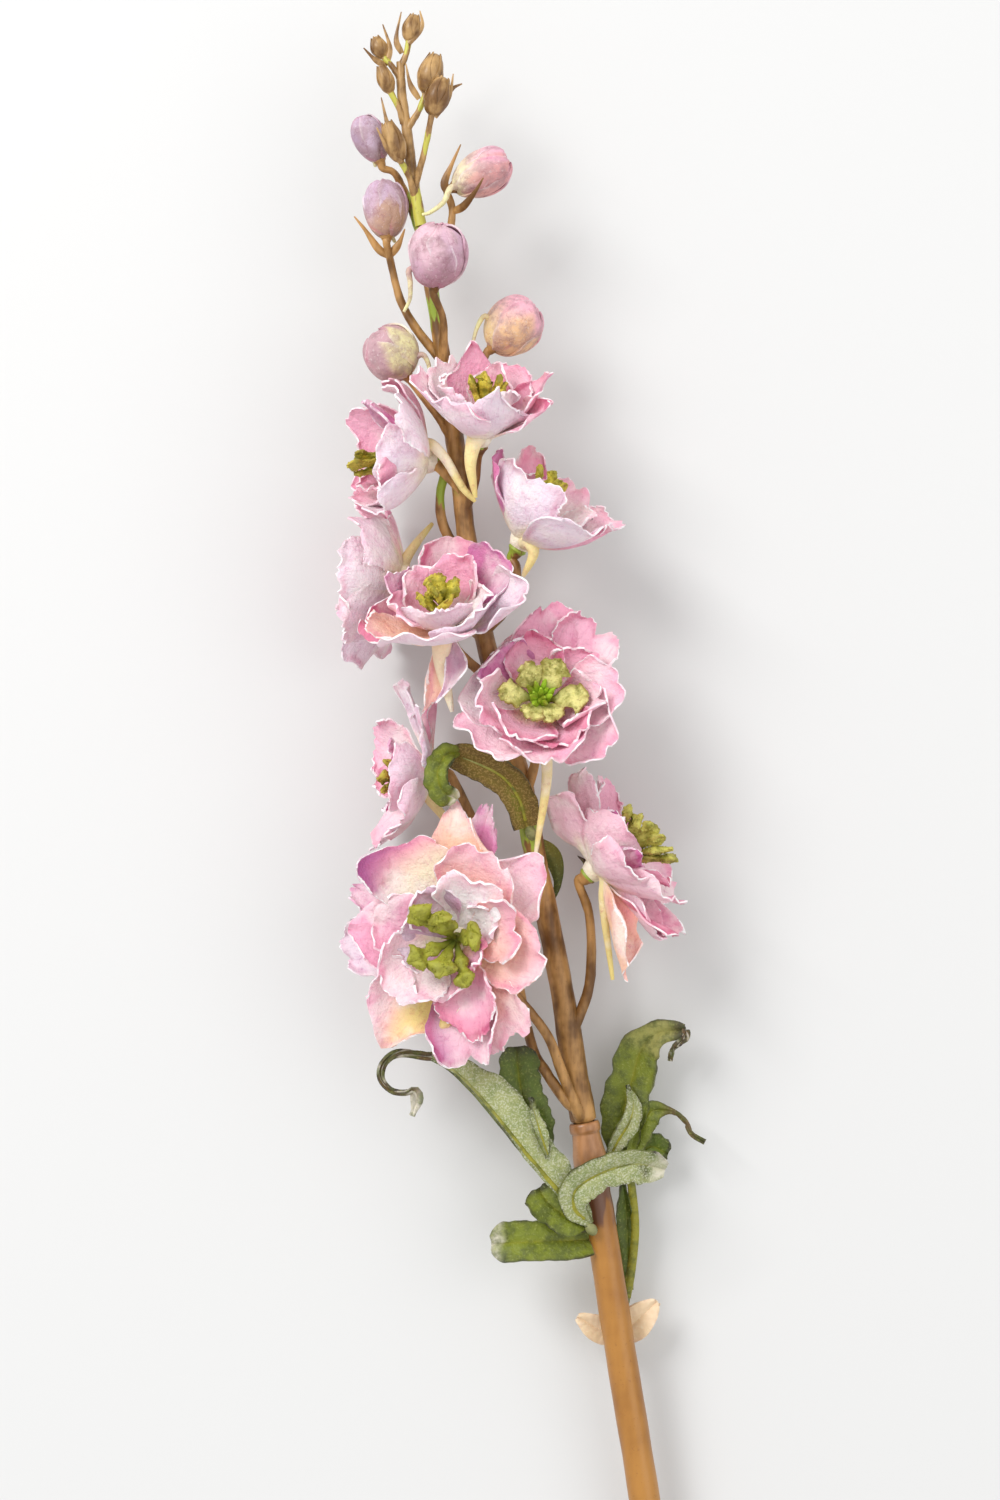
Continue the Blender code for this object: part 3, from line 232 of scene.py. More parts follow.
def stalkMaterial(name, look):  # painted moulded stems with unpainted patches; on the lower stem the same patch is a painted shadow of a leaf with a darker brown
    material, tree, shader = newMaterial(name)
    place = placeOf(tree)
    lines = noiseOf(tree, stretched(tree, place, (1.0, 0.22, 1.0)), look["streakScale"])
    patches = noiseOf(tree, place, look["patchScale"])
    specks = noiseOf(tree, place, 1300.0, 3.0, 0.6)
    worn = weighed(tree, (lines, 0.5), (patches, 0.6))
    colour = mixColour(tree, rangeOf(tree, worn, 0.42, 0.70), look["dark"], look["light"])
    spot = attributeOf(tree, "bareAndPaintedLight")
    bareAndPaintedLight = weighed(tree, (spot, 1.0), (lines, 4.5))
    bareAndPaintedLight = rangeOf(tree, bareAndPaintedLight, look["bareAndPaintedLightFrom"] + 1.8, look["bareAndPaintedLightFrom"] + 2.1)
    bareAndPaintedLight = mathOf(tree, "MULTIPLY", bareAndPaintedLight, rangeOf(tree, spot, 0.15, 0.35))
    colour = mixColour(tree, bareAndPaintedLight, colour, look["bareAndPaintedLight"])
    colour = mixColour(tree, rangeOf(tree, specks, 0.60, 0.72, 0.0, 0.35), colour, look["speck"])
    fill(tree, shader, {
        "Base Color": colour, "Roughness": look["roughness"], "Specular IOR Level": look["shine"],
    })
    bumpOf(tree, shader, ((specks, 0.25, 0.0001), (lines, 0.35, 0.0003)))
    return material


axisLook = {
    "dark": paint(0.40, 0.26, 0.09), "light": paint(0.73, 0.55, 0.32), "bareAndPaintedLight": paint(0.58, 0.66, 0.22),
    "speck": paint(0.34, 0.23, 0.16), "streakScale": 420.0, "patchScale": 120.0, "bareAndPaintedLightFrom": 0.86,
    "roughness": 0.46, "shine": 0.45,
}
tipLook = {
    "dark": paint(0.44, 0.30, 0.14), "light": paint(0.74, 0.59, 0.38), "bareAndPaintedLight": paint(0.74, 0.72, 0.30),
    "speck": paint(0.36, 0.23, 0.11), "streakScale": 620.0, "patchScale": 190.0, "bareAndPaintedLightFrom": 0.88,
    "roughness": 0.40, "shine": 0.5,
}
# on the lower stem the bare colour is a painted shadow of a leaf, mixed with a darker brown of the stem
lowerLook = {
    "dark": paint(0.56, 0.36, 0.13), "light": paint(0.69, 0.48, 0.21), "bareAndPaintedLight": paint(0.42, 0.26, 0.16),
    "speck": paint(0.48, 0.29, 0.14), "streakScale": 160.0, "patchScale": 60.0, "bareAndPaintedLightFrom": 0.3,
    "roughness": 0.34, "shine": 0.5,
}
# the sleeve's pale bare colour is a painted highlight meant for the collar rim; the sleeve has no bare
# attribute, so it never shows
sleeveLook = {
    "dark": paint(0.54, 0.36, 0.20), "light": paint(0.73, 0.52, 0.34), "bareAndPaintedLight": paint(0.82, 0.62, 0.50),
    "speck": paint(0.48, 0.31, 0.20), "streakScale": 330.0, "patchScale": 110.0, "bareAndPaintedLightFrom": 1.2,
    "roughness": 0.32, "shine": 0.6,
}


def plainMaterial(name, look):  # tinted soft pieces: stamens, buds, leaves and bracts
    material, tree, shader = newMaterial(name)
    place = placeOf(tree)
    cloud = noiseOf(tree, place, look["cloudScale"], 4.0, 0.6)
    grain = noiseOf(tree, place, look["grainScale"], 3.0, 0.65)
    clouded = rangeOf(tree, cloud, 0.40, 0.66, 0.0, look["cloudAmount"])
    colour = mixColour(tree, clouded, attributeOf(tree, "tint", "Color"), look["cloud"])
    grained = rangeOf(tree, grain, *look["grainRange"], 0.0, look["grainAmount"])
    colour = mixColour(tree, grained, colour, look["grain"])
    layers = [(grain, look["grainBump"], 0.0002), (cloud, look["cloudBump"], 0.0006)]
    if "wrinkle" in look:
        darker = mixColour(tree, 1.0, colour, look["wrinkleShade"], "MULTIPLY")
        lines = wrinkleOf(tree, place, look["wrinkleScale"], 0.02)
        colour = mixColour(tree, mathOf(tree, "MULTIPLY", lines, 0.6), colour, darker)
        layers.append((wrinkleOf(tree, place, look["wrinkleScale"], 0.03), -look["wrinkle"], 0.0004))
    fill(tree, shader, {"Base Color": colour, "Roughness": look["roughness"]})
    if "glow" in look:
        fill(tree, shader, {
            "Subsurface Weight": look["glow"], "Subsurface Radius": (0.003, 0.002, 0.002),
            "Subsurface Scale": 1.0,
        })
    bumpOf(tree, shader, layers)
    return material


stamenLook = {
    "cloudScale": 420.0, "cloudAmount": 0.85, "cloud": paint(0.47, 0.46, 0.09), "grainScale": 1500.0,
    "grainRange": (0.60, 0.72), "grainAmount": 0.55, "grain": paint(0.44, 0.30, 0.08), "roughness": 0.6,
    "grainBump": 0.5, "cloudBump": 0.6, "glow": 0.08,
}
budLook = {
    "cloudScale": 330.0, "cloudAmount": 0.60, "cloud": paint(0.63, 0.49, 0.51), "grainScale": 1700.0,
    "grainRange": (0.56, 0.72), "grainAmount": 0.35, "grain": paint(0.95, 0.90, 0.90), "roughness": 0.72,
    "grainBump": 0.35, "cloudBump": 0.8, "glow": 0.12, "wrinkle": 0.9, "wrinkleScale": 230.0,
    "wrinkleShade": (0.72, 0.56, 0.62),
}
leafLook = {
    "cloudScale": 330.0, "cloudAmount": 0.75, "cloud": paint(0.27, 0.31, 0.07), "grainScale": 1700.0,
    "grainRange": (0.54, 0.70), "grainAmount": 0.40, "grain": paint(0.62, 0.64, 0.34), "roughness": 0.56,
    "grainBump": 0.7, "cloudBump": 0.9,
}
flockLook = {
    "cloudScale": 420.0, "cloudAmount": 0.60, "cloud": paint(0.44, 0.50, 0.29), "grainScale": 2400.0,
    "grainRange": (0.46, 0.62), "grainAmount": 0.60, "grain": paint(0.80, 0.80, 0.71), "roughness": 0.95,
    "grainBump": 1.0, "cloudBump": 0.7,
}
brownFlockLook = dict(flockLook, cloud=paint(0.42, 0.33, 0.12), grain=paint(0.64, 0.53, 0.30), roughness=0.85)
bractLook = {
    "cloudScale": 200.0, "cloudAmount": 0.35, "cloud": paint(0.80, 0.70, 0.50), "grainScale": 1300.0,
    "grainRange": (0.55, 0.75), "grainAmount": 0.3, "grain": paint(0.97, 0.94, 0.86), "roughness": 0.8,
    "grainBump": 0.4, "cloudBump": 0.4, "glow": 0.1,
}
wireLook = {"colour": (0.36, 0.36, 0.37), "scratch": (0.62, 0.61, 0.60), "roughness": 0.34}


def wireMaterial():
    material, tree, shader = newMaterial("drawnWire")
    scratches = noiseOf(tree, placeOf(tree), 900.0, 4.0, 0.6)
    colour = mixColour(tree, scratches, wireLook["colour"], wireLook["scratch"])
    fill(tree, shader, {"Base Color": colour, "Metallic": 1.0, "Roughness": wireLook["roughness"]})
    bumpOf(tree, shader, ((scratches, 0.3, 0.0001),))
    return material


petalPaper, frostedEdge, drawnWire = petalMaterial(), frostMaterial(), wireMaterial()
axisPaint, tipPaint = stalkMaterial("axisPaint", axisLook), stalkMaterial("tipPaint", tipLook)
lowerPaint, sleevePaint = stalkMaterial("lowerPaint", lowerLook), stalkMaterial("sleevePaint", sleeveLook)
stamenPaint, budPaper = plainMaterial("stamenPaint", stamenLook), plainMaterial("budPaper", budLook)
leafGreen, leafFlock = plainMaterial("leafGreen", leafLook), plainMaterial("leafFlock", flockLook)
bractPaper, brownFlock = plainMaterial("bractPaper", bractLook), plainMaterial("brownFlock", brownFlockLook)
print("materials ready")


# meshes

def newObject(name, data):
    item = bpy.data.objects.new(name, data)
    bpy.context.scene.collection.objects.link(item)
    return item


def addValues(mesh, name, values):  # one number for each point
    mesh.attributes.new(name, "FLOAT", "POINT").data.foreach_set("value", np.ravel(values))


class Shell:  # points, faces and paint gathered for one piece, in millimetres
    def __init__(self):
        self.points, self.faces, self.marks = [], [], []
        self.tint, self.frost, self.sheetMap = [], [], []
        self.count = 0

    def add(self, points, faces, marks, tint, frost=0.0, sheetMap=(0.0, 0.0)):
        total = len(points)
        self.points.append(points)
        self.faces += [tuple(int(corner) + self.count for corner in face) for face in faces]
        self.marks += list(marks)
        paints = ((self.tint, tint, 3), (self.frost, frost, 1), (self.sheetMap, sheetMap, 2))
        for kept, values, width in paints:
            kept.append(np.broadcast_to(np.asarray(values, float).reshape(-1, width), (total, width)))
        self.count += total

    def piece(self, name, materials, sharp=50):
        mesh = bpy.data.meshes.new(name)
        spots = laid(np.vstack(self.points))
        heights = spots[:, 2]
        bent = floorGap * np.exp((np.minimum(heights, floorGap) - floorGap) / floorGap)
        spots[:, 2] = np.where(heights < floorGap, bent, heights)  # what would sink is bent flat on the floor
        mesh.from_pydata(spots.tolist(), [], self.faces)
        mesh.update()
        for material in materials:
            mesh.materials.append(material)
        mesh.polygons.foreach_set("material_index", self.marks)
        rgba = np.hstack([np.vstack(self.tint), np.ones((self.count, 1))])
        mesh.attributes.new("tint", "FLOAT_COLOR", "POINT").data.foreach_set("color", rgba.ravel())
        addValues(mesh, "frost", np.vstack(self.frost))
        corners = np.zeros(len(mesh.loops), dtype=np.int32)
        mesh.loops.foreach_get("vertex_index", corners)
        spread = np.vstack(self.sheetMap)[corners]
        mesh.uv_layers.new(name="sheetMap").data.foreach_set("uv", spread.ravel())
        mesh.shade_smooth()
        mesh.set_sharp_from_angle(angle=math.radians(sharp))
        return newObject(name, mesh)


def seat(item, slotName, *nodes):
    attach(item, "root")
    if nodes:
        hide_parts(*nodes)


def sheetSpan(rows, columns):  # u along a sheet from 0 to 1, and v across it from -1 to 1
    u, v = np.linspace(0, 1, rows + 1)[:, None], np.linspace(-1, 1, columns + 1)[None, :]
    return u + 0 * v, v + 0 * u


# a sheet along a midline that looks towards face, from how far it reaches sideways and how high it stands
def sheetGrid(path, face, across, height):
    ahead = np.gradient(path, axis=0)
    side = unit(np.cross(ahead, face))
    normal = unit(np.cross(side, ahead))
    return path[:, None] + side[:, None] * across[..., None] + normal[:, None] * height[..., None]


def gridNormals(grid):
    return unit(np.cross(np.gradient(grid, axis=0), np.gradient(grid, axis=1)))


# a closed blade from a grid: front, back and a rim all round, and marks are their materials.
# mirrored reads the columns backwards, for a grid whose own normals look away from its face
def addSheet(shell, grid, thickness, faceTint, backTint, marks, frost=0.0, sheetMap=(0.0, 0.0),
             mirrored=True):
    rows, columns = grid.shape[:2]
    step = -1 if mirrored else 1
    grid, faceTint, backTint, sheetMap = (
        np.broadcast_to(values, (rows, columns, np.shape(values)[-1]))[:, ::step]
        for values in (grid, faceTint, backTint, sheetMap)
    )
    thickness, frost = (
        np.broadcast_to(values, (rows, columns))[:, ::step, None] for values in (thickness, frost)
    )
    rise = gridNormals(grid) * thickness / 2
    far = rows * columns
    index = np.arange(far).reshape(rows, columns)
    a, b, c, d = index[:-1, :-1], index[1:, :-1], index[1:, 1:], index[:-1, 1:]
    frontFaces = np.stack([a, b, c, d], -1).reshape(-1, 4)
    backFaces = np.stack([d, c, b, a], -1).reshape(-1, 4) + far
    loop = np.concatenate([index[0, :-1], index[:-1, -1], index[-1, :0:-1], index[:0:-1, 0]])
    following = np.roll(loop, -1)
    rimFaces = np.stack([loop, following, following + far, loop + far], -1)
    faces = (frontFaces, backFaces, rimFaces)
    used = np.repeat(marks, [len(part) for part in faces]).tolist()
    points, tint, flat = (np.vstack([first, second]).reshape(far * 2, -1) for first, second in (
        (grid + rise, grid - rise), (faceTint, backTint), (sheetMap, sheetMap),
    ))
    shell.add(points, np.vstack(faces), used, tint, np.tile(frost.reshape(-1), 2), flat)


# a ring of points round a place, the first of them towards the guide
def ringAt(place, direction, guide, radius, sides):
    direction = unit(direction)
    first = unit(guide - direction * guide.dot(direction))
    second = np.cross(direction, first)
    turns = 2 * np.pi * np.arange(sides) / sides
    return place + radius * (np.outer(np.cos(turns), first) + np.outer(np.sin(turns), second)), first


def ringFaces(rows, count, sides):
    faces = []
    for row in range(rows):
        near, far = row * sides, (row + 1) % count * sides
        for column in range(sides):
            following = (column + 1) % sides
            faces.append((near + column, near + following, far + following, far + column))
    return faces


# a closed tube along a path, for small parts joined to a sheet
def addRod(shell, path, radii, sides, tint):
    path = np.asarray(path, float)
    count = len(path)
    points, guide = [], np.array((0.0, 0.3, 1.0))
    for place, direction, radius in zip(path, np.gradient(path, axis=0), radii):
        ring, guide = ringAt(place, direction, guide, radius, sides)
        points.append(ring)
    faces = ringFaces(count - 1, count, sides)
    faces.append(tuple(range(sides - 1, -1, -1)))
    faces.append(tuple((count - 1) * sides + column for column in range(sides)))
    tint = np.repeat(np.broadcast_to(tint, (count, 3)), sides, axis=0)
    shell.add(np.vstack(points), faces, [0] * len(faces), tint)


# a closed ball, with its poles along a direction as long as half the ball
def addBall(shell, centre, along, radius, tint, rows=9, sides=14, inset=0.05, taper=0.0):
    turns = np.linspace(inset, math.pi - inset, rows)
    radii = radius * np.sin(turns) * (1 - taper * np.cos(turns))
    addRod(shell, centre - np.outer(np.cos(turns), along), radii, sides, tint)


# blooms

cream, yellow, peach = paint(0.98, 0.93, 0.80), paint(0.93, 0.84, 0.52), paint(0.97, 0.78, 0.65)
blush, pink, rose = paint(0.975, 0.83, 0.865), paint(0.95, 0.68, 0.77), paint(0.92, 0.55, 0.655)
magenta, purple, crimson = paint(0.84, 0.47, 0.66), paint(0.60, 0.31, 0.53), paint(0.72, 0.25, 0.42)
lilac, white, mauve = paint(0.93, 0.85, 0.90), paint(0.985, 0.955, 0.955), paint(0.82, 0.68, 0.76)

# root, body, tip, colour of the line inside the rim and how strong it is, back
petalStyles = {
    "blush": (cream, blush, pink, rose, 0.5, lilac),
    "white": (white, white, blush, rose, 0.35, lilac),
    "pink": (blush, pink, pink, crimson, 0.45, blush),
    "rose": (peach, pink, rose, crimson, 0.6, pink),
    "magenta": (pink, magenta, magenta, purple, 0.4, magenta),
    "lilac": (cream, lilac, lilac, crimson, 0.5, lilac),
    "peach": (peach, peach, paint(0.955, 0.74, 0.69), rose, 0.5, peach),
    "salmon": (paint(0.97, 0.84, 0.62), paint(0.965, 0.76, 0.70), pink, rose, 0.6, peach),
    "purpleTip": (cream, cream, rose, purple, 0.3, blush),
    "purpleSide": (blush, blush, pink, crimson, 0.4, pink),
    "yolk": (yellow, yellow, paint(0.95, 0.80, 0.58), rose, 0.4, pink),
    "mauve": (mauve, mauve, lilac, crimson, 0.4, lilac),
}

# each bloom: where its petals are fixed, the way it looks, and how far it fills.
# a petal is (clock angle, length, width, lean at the root, lean at the tip, edge lift, style)
blooms = {
    "1": dict(
        base=(-4.4, 203.1, 6.5), face=(0.10, 0.88, 0.42), reach=14.0,
        outer=[
            (0, 21.0, 15.0, 60, 6, 0.25, "pink"), (45, 20.0, 14.0, 60, 6, 0.3, "blush"),
            (86, 20.0, 11.0, 66, 16, 0.4, "rose"), (118, 17.5, 11.0, 70, 16, 0.35, "rose"),
            (178, 16.5, 18.0, 66, -6, 0.3, "lilac"), (226, 17.0, 15.0, 70, 8, 0.3, "blush"),
            (274, 19.5, 14.0, 76, 36, 0.25, "blush"), (318, 19.0, 14.0, 64, 10, 0.3, "white"),
        ],
        inner=[(150, 12.5, 10.0, 46, 0, 0.35, "white"), (270, 13.5, 10.0, 46, 6, 0.35, "white"),
               (30, 15.0, 10.0, 44, 4, 0.35, "pink")],
        arms=[(-6.4, 215.2, 12.3), (-3.2, 216.0, 13.0), (0.2, 215.0, 12.2), (1.4, 213.8, 10.8),
              (-4.6, 213.6, 9.8)],
        spur=[(-5.6, 201.0, 9.6), (-6.4, 196.0, 10.5), (-5.3, 189.0, 9.0)],
        stalk=[(-7.8, 187.0, 0.6), (-5.6, 192.6, 2.6)],
    ),
    "2": dict(
        base=(-16.7, 197.6, 2.0), face=(-0.94, 0.02, 0.34), reach=16.0,
        outer=[
            (14, 22.5, 10.0, 84, 50, 0.35, "rose"), (48, 20.5, 17.0, 70, 30, 0.3, "white"),
            (98, 16.5, 17.0, 56, -4, 0.3, "lilac"), (146, 19.5, 14.0, 58, 12, 0.3, "lilac"),
            (196, 20.0, 13.0, 58, 18, 0.3, "blush"), (250, 18.0, 14.0, 58, 16, 0.3, "blush"),
            (310, 20.0, 15.0, 66, 28, 0.3, "pink"),
        ],
        inner=[(10, 18.0, 9.0, 50, 32, 0.45, "magenta"), (120, 16.0, 8.0, 40, 14, 0.4, "rose"),
               (220, 14.0, 9.0, 40, 10, 0.35, "pink")],
        arms=[(-31.6, 198.6, 7.0), (-33.2, 196.0, 9.0), (-31.6, 194.4, 6.2), (-31.8, 197.6, 3.8)],
        spur=[(-15.6, 201.0, 5.6), (-12.2, 198.0, 7.4), (-8.2, 191.4, 7.0), (-5.4, 188.4, 6.2)],
        stalk=[(-6.0, 172.5, -1.2), (-12.2, 183.0, -1.5), (-13.2, 190.4, -0.4)],
    ),
    "3": dict(
        base=(5.2, 180.8, 2.0), face=(0.48, 0.84, 0.26), reach=16.0,
        outer=[
            (282, 18.5, 19.0, 60, -6, 0.3, "lilac"), (338, 22.0, 12.0, 58, 12, 0.35, "magenta"),
            (214, 23.0, 15.5, 78, 40, 0.3, "lilac"), (180, 20.5, 14.0, 70, 14, 0.3, "rose"),
            (24, 21.0, 12.0, 56, 10, 0.35, "rose"), (86, 19.0, 14.0, 52, 18, 0.3, "blush"),
            (138, 20.5, 14.0, 68, 36, 0.3, "blush"),
        ],
        inner=[(20, 14.5, 10.0, 42, 4, 0.35, "pink"), (140, 15.0, 10.0, 46, 16, 0.35, "white"),
               (250, 14.0, 12.0, 42, 0, 0.35, "white")],
        arms=[(9.0, 196.0, 7.0), (12.0, 194.8, 8.4), (14.5, 192.2, 6.6), (13.2, 193.4, 2.6)],
        spur=[(6.6, 179.2, 6.2), (7.2, 176.6, 7.2), (5.0, 172.0, 6.6)],
        stalk=[(-3.6, 160.0, 0.6), (2.6, 167.0, 1.5), (3.6, 174.0, 1.4)],
    ),
    "4": dict(
        base=(-22.0, 172.4, -2.0), face=(-0.90, 0.05, -0.20), reach=18.0,
        outer=[
            (8, 20.0, 14.0, 84, 34, 0.3, "rose"), (46, 19.5, 16.0, 76, 44, 0.25, "blush"),
            (92, 17.5, 17.0, 70, 46, 0.25, "white"), (134, 20.0, 13.0, 64, 46, 0.25, "blush"),
            (172, 21.0, 15.0, 72, 62, 0.25, "lilac"), (224, 20.0, 15.0, 72, 62, 0.25, "blush"),
            (272, 19.3, 15.0, 76, 70, 0.25, "blush"), (318, 20.0, 14.0, 72, 50, 0.25, "pink"),
        ],
        inner=[(60, 13.0, 10.0, 46, 30, 0.3, "pink"), (260, 13.0, 10.0, 46, 30, 0.3, "pink"),
               (150, 13.0, 10.0, 46, 30, 0.3, "pink")],
        arms=[(-30.4, 175.6, -3.6), (-30.8, 172.4, -1.2), (-30.4, 169.6, -4.6)],
        spur=[(-21.0, 175.8, -2.4), (-18.4, 180.0, -3.0), (-15.0, 184.4, -5.6)],
        stalk=[(-3.0, 158.0, -0.8), (-11.0, 165.5, -2.6)],
    ),
    "5": dict(
        base=(-11.6, 161.8, 8.4), face=(-0.20, 0.68, 0.70), reach=18.5,
        outer=[
            (2, 19.5, 17.0, 74, 46, 0.25, "rose"), (330, 18.5, 16.0, 76, 50, 0.25, "rose"),
            (44, 20.5, 14.0, 74, 46, 0.35, "magenta"), (88, 20.0, 17.0, 74, 40, 0.3, "lilac"),
            (132, 19.0, 18.0, 72, 24, 0.3, "lilac"), (180, 18.5, 21.0, 72, 16, 0.25, "white"),
            (226, 18.5, 14.0, 76, 36, 0.3, "peach"), (262, 19.0, 15.0, 80, 50, 0.3, "rose"),
            (298, 17.5, 9.0, 70, 36, 0.45, "magenta"), (178, 19.0, 8.0, 118, 134, 0.4, "peach"),
            (160, 24.0, 7.0, 112, 128, 0.35, "mauve"),
        ],
        inner=[(20, 14.0, 12.0, 58, 26, 0.3, "pink"), (96, 14.0, 13.0, 56, 20, 0.35, "white"),
               (170, 13.5, 15.0, 54, 4, 0.3, "white"), (250, 13.5, 13.0, 56, 18, 0.3, "pink"),
               (310, 13.0, 11.0, 56, 24, 0.3, "pink")],
        arms=[(-15.0, 169.8, 17.2), (-17.4, 167.0, 15.6), (-10.8, 166.8, 16.8), (-9.6, 171.2, 14.2),
              (-14.4, 172.0, 12.8)],
        spur=[(-12.2, 160.4, 10.8), (-12.6, 153.0, 11.0), (-10.4, 142.5, 9.6)],
        stalk=[(-0.6, 147.5, 1.2), (-4.6, 151.5, 3.0), (-8.4, 155.0, 3.8)],
    ),
    "6": dict(
        base=(8.6, 144.2, 8.5), face=(0.03, 0.34, 0.94), reach=19.0,
        outer=[
            (2, 21.5, 16.5, 76, 86, 0.2, "pink"), (38, 20.5, 15.0, 76, 84, 0.25, "pink"),
            (88, 18.5, 17.0, 74, 58, 0.25, "blush"), (128, 19.0, 17.0, 74, 48, 0.25, "blush"),
            (176, 19.0, 19.0, 72, 42, 0.25, "pink"), (232, 19.5, 18.0, 74, 50, 0.25, "blush"),
            (280, 20.0, 18.0, 76, 68, 0.2, "white"), (320, 19.0, 14.0, 78, 78, 0.2, "pink"),
        ],
        inner=[(350, 14.0, 13.0, 66, 60, 0.3, "rose"), (50, 14.5, 11.0, 66, 62, 0.3, "pink"),
               (100, 15.0, 13.0, 64, 38, 0.3, "pink"), (150, 15.5, 15.0, 64, 30, 0.3, "rose"),
               (204, 15.5, 15.0, 64, 30, 0.3, "rose"), (254, 15.0, 14.0, 64, 36, 0.3, "blush"),
               (310, 16.0, 14.0, 66, 70, 0.2, "magenta")],
        arms=[(5.4, 152.6, 16.4), (13.0, 153.4, 16.4), (0.2, 146.8, 16.8), (18.6, 145.4, 16.8),
              (6.4, 141.2, 17.8), (11.6, 140.8, 17.8)],
        spur=[(8.8, 140.0, 9.4), (10.2, 129.0, 9.4), (7.8, 112.0, 9.0)],
        stalk=[(5.4, 124.0, 1.2), (7.8, 132.0, 2.0)],
    ),
    "7": dict(
        base=(-16.0, 128.5, -2.0), face=(-0.92, 0.08, 0.26), reach=18.0,
        outer=[
            (6, 20.5, 10.0, 80, 52, 0.3, "lilac"), (46, 19.0, 15.0, 72, 46, 0.25, "lilac"),
            (92, 16.5, 15.0, 64, 30, 0.3, "blush"), (132, 18.0, 15.0, 66, 40, 0.3, "blush"),
            (166, 18.0, 12.0, 72, 56, 0.3, "pink"), (214, 19.0, 15.0, 66, 50, 0.25, "blush"),
            (296, 19.0, 15.0, 66, 50, 0.25, "blush"), (340, 20.0, 9.0, 92, 84, 0.4, "rose"),
        ],
        inner=[(60, 12.5, 10.0, 46, 26, 0.3, "magenta"), (260, 12.5, 10.0, 46, 26, 0.3, "pink"),
               (150, 12.5, 10.0, 46, 26, 0.3, "magenta")],
        arms=[(-26.0, 125.4, 2.8), (-26.8, 128.0, 4.0), (-25.6, 131.8, 2.4)],
        spur=[(-16.2, 124.4, -3.2), (-12.0, 118.6, -6.6), (-7.6, 110.0, -9.4)],
        stalk=[(16.6, 55.4, 1.6), (14.3, 57.6, 3.2), (10.2, 63.4, 2.2), (6.6, 70.5, -1.0), (1.5, 95.0, -7.0),
               (-4.5, 115.0, -5.0)],
    ),
    "8": dict(
        base=(21.4, 108.4, 0.5), face=(0.72, 0.64, 0.24), reach=20.0,
        outer=[
            (352, 23.5, 8.5, 60, 62, 0.3, "pink"), (335, 20.0, 11.5, 74, 64, 0.3, "pink"),
            (284, 18.0, 15.0, 56, 18, 0.3, "pink"), (242, 19.5, 16.0, 68, 34, 0.3, "pink"),
            (204, 21.5, 15.0, 76, 42, 0.3, "pink"), (178, 21.5, 13.0, 84, 58, 0.3, "rose"),
            (24, 20.0, 13.0, 62, 34, 0.25, "pink"), (72, 20.5, 15.0, 74, 62, 0.25, "pink"),
            (124, 20.5, 15.0, 76, 60, 0.25, "blush"), (205, 26.0, 8.5, 102, 106, 1.3, "peach"),
            (186, 20.0, 8.0, 86, 94, 0.9, "blush"),
        ],
        inner=[(300, 15.0, 9.0, 46, 20, 0.35, "magenta"), (244, 15.0, 11.0, 50, 16, 0.35, "magenta"),
               (190, 16.0, 11.0, 60, 36, 0.35, "rose"), (60, 14.0, 10.0, 44, 16, 0.3, "pink")],
        arms=[(28.6, 122.0, 5.0), (31.2, 120.2, 6.8), (33.8, 118.0, 7.4), (35.8, 115.4, 7.0),
              (37.6, 112.8, 5.6), (38.6, 110.4, 4.2)],
        spur=[(23.0, 106.4, 2.8), (22.6, 100.0, 4.8), (24.6, 84.0, 5.0)],
        stalk=[(15.4, 71.0, 0.6), (19.6, 82.5, 0.8), (19.8, 96.8, -0.4)],
    ),
    "9": dict(
        base=(-8.8, 93.4, 10.5), face=(-0.30, -0.02, 0.95), reach=28.0,
        outer=[
            (326, 24.5, 18.5, 76, 86, 0.14, "purpleTip"), (358, 26.5, 20.0, 78, 86, 0.10, "peach"),
            (24, 21.0, 18.0, 68, 74, 0.2, "salmon"), (47, 24.5, 18.0, 80, 90, 0.12, "blush"),
            (98, 21.0, 18.5, 76, 74, 0.25, "salmon"), (150, 24.0, 14.0, 76, 84, 0.2, "salmon"),
            (173, 27.0, 16.5, 78, 92, 0.14, "purpleSide"), (213, 27.0, 20.5, 76, 86, 0.12, "yolk"),
            (276, 22.5, 18.0, 74, 82, 0.2, "pink"), (266, 25.5, 15.0, 80, 96, 0.2, "lilac"),
            (12, 27.0, 7.5, 96, 106, 0.2, "magenta"), (293, 25.5, 9.0, 84, 98, 0.3, "magenta"),
        ],
        inner=[
            (28, 17.0, 15.0, 58, 60, 0.25, "white"), (284, 17.5, 14.0, 64, 66, 0.25, "pink"),
            (232, 18.0, 17.0, 66, 58, 0.25, "blush"), (166, 20.5, 14.0, 68, 72, 0.25, "rose"),
            (78, 16.5, 14.0, 64, 62, 0.25, "salmon"), (200, 14.0, 14.0, 60, 46, 0.3, "pink"),
            (330, 13.5, 12.0, 58, 50, 0.3, "mauve"), (262, 12.5, 12.0, 60, 48, 0.3, "mauve"),
            (120, 11.0, 9.0, 58, 30, 0.45, "rose"), (60, 12.5, 9.0, 54, 44, 0.3, "white"),
        ],
        arms=[(-18.8, 100.4, 20.6), (-13.4, 98.8, 21.4), (-19.4, 89.0, 20.4), (-13.4, 86.0, 21.0),
              (-7.2, 84.0, 20.4), (-4.8, 94.4, 20.8)],
        spur=[(-12.2, 96.0, 9.6), (-15.4, 100.5, 5.0), (-17.0, 107.5, 0.0)],
        stalk=[(17.6, 53.6, 2.0), (16.2, 57.0, 3.4), (13.2, 64.6, 3.8), (10.2, 72.0, 3.6), (4.0, 80.0, 4.0)],
    ),
}

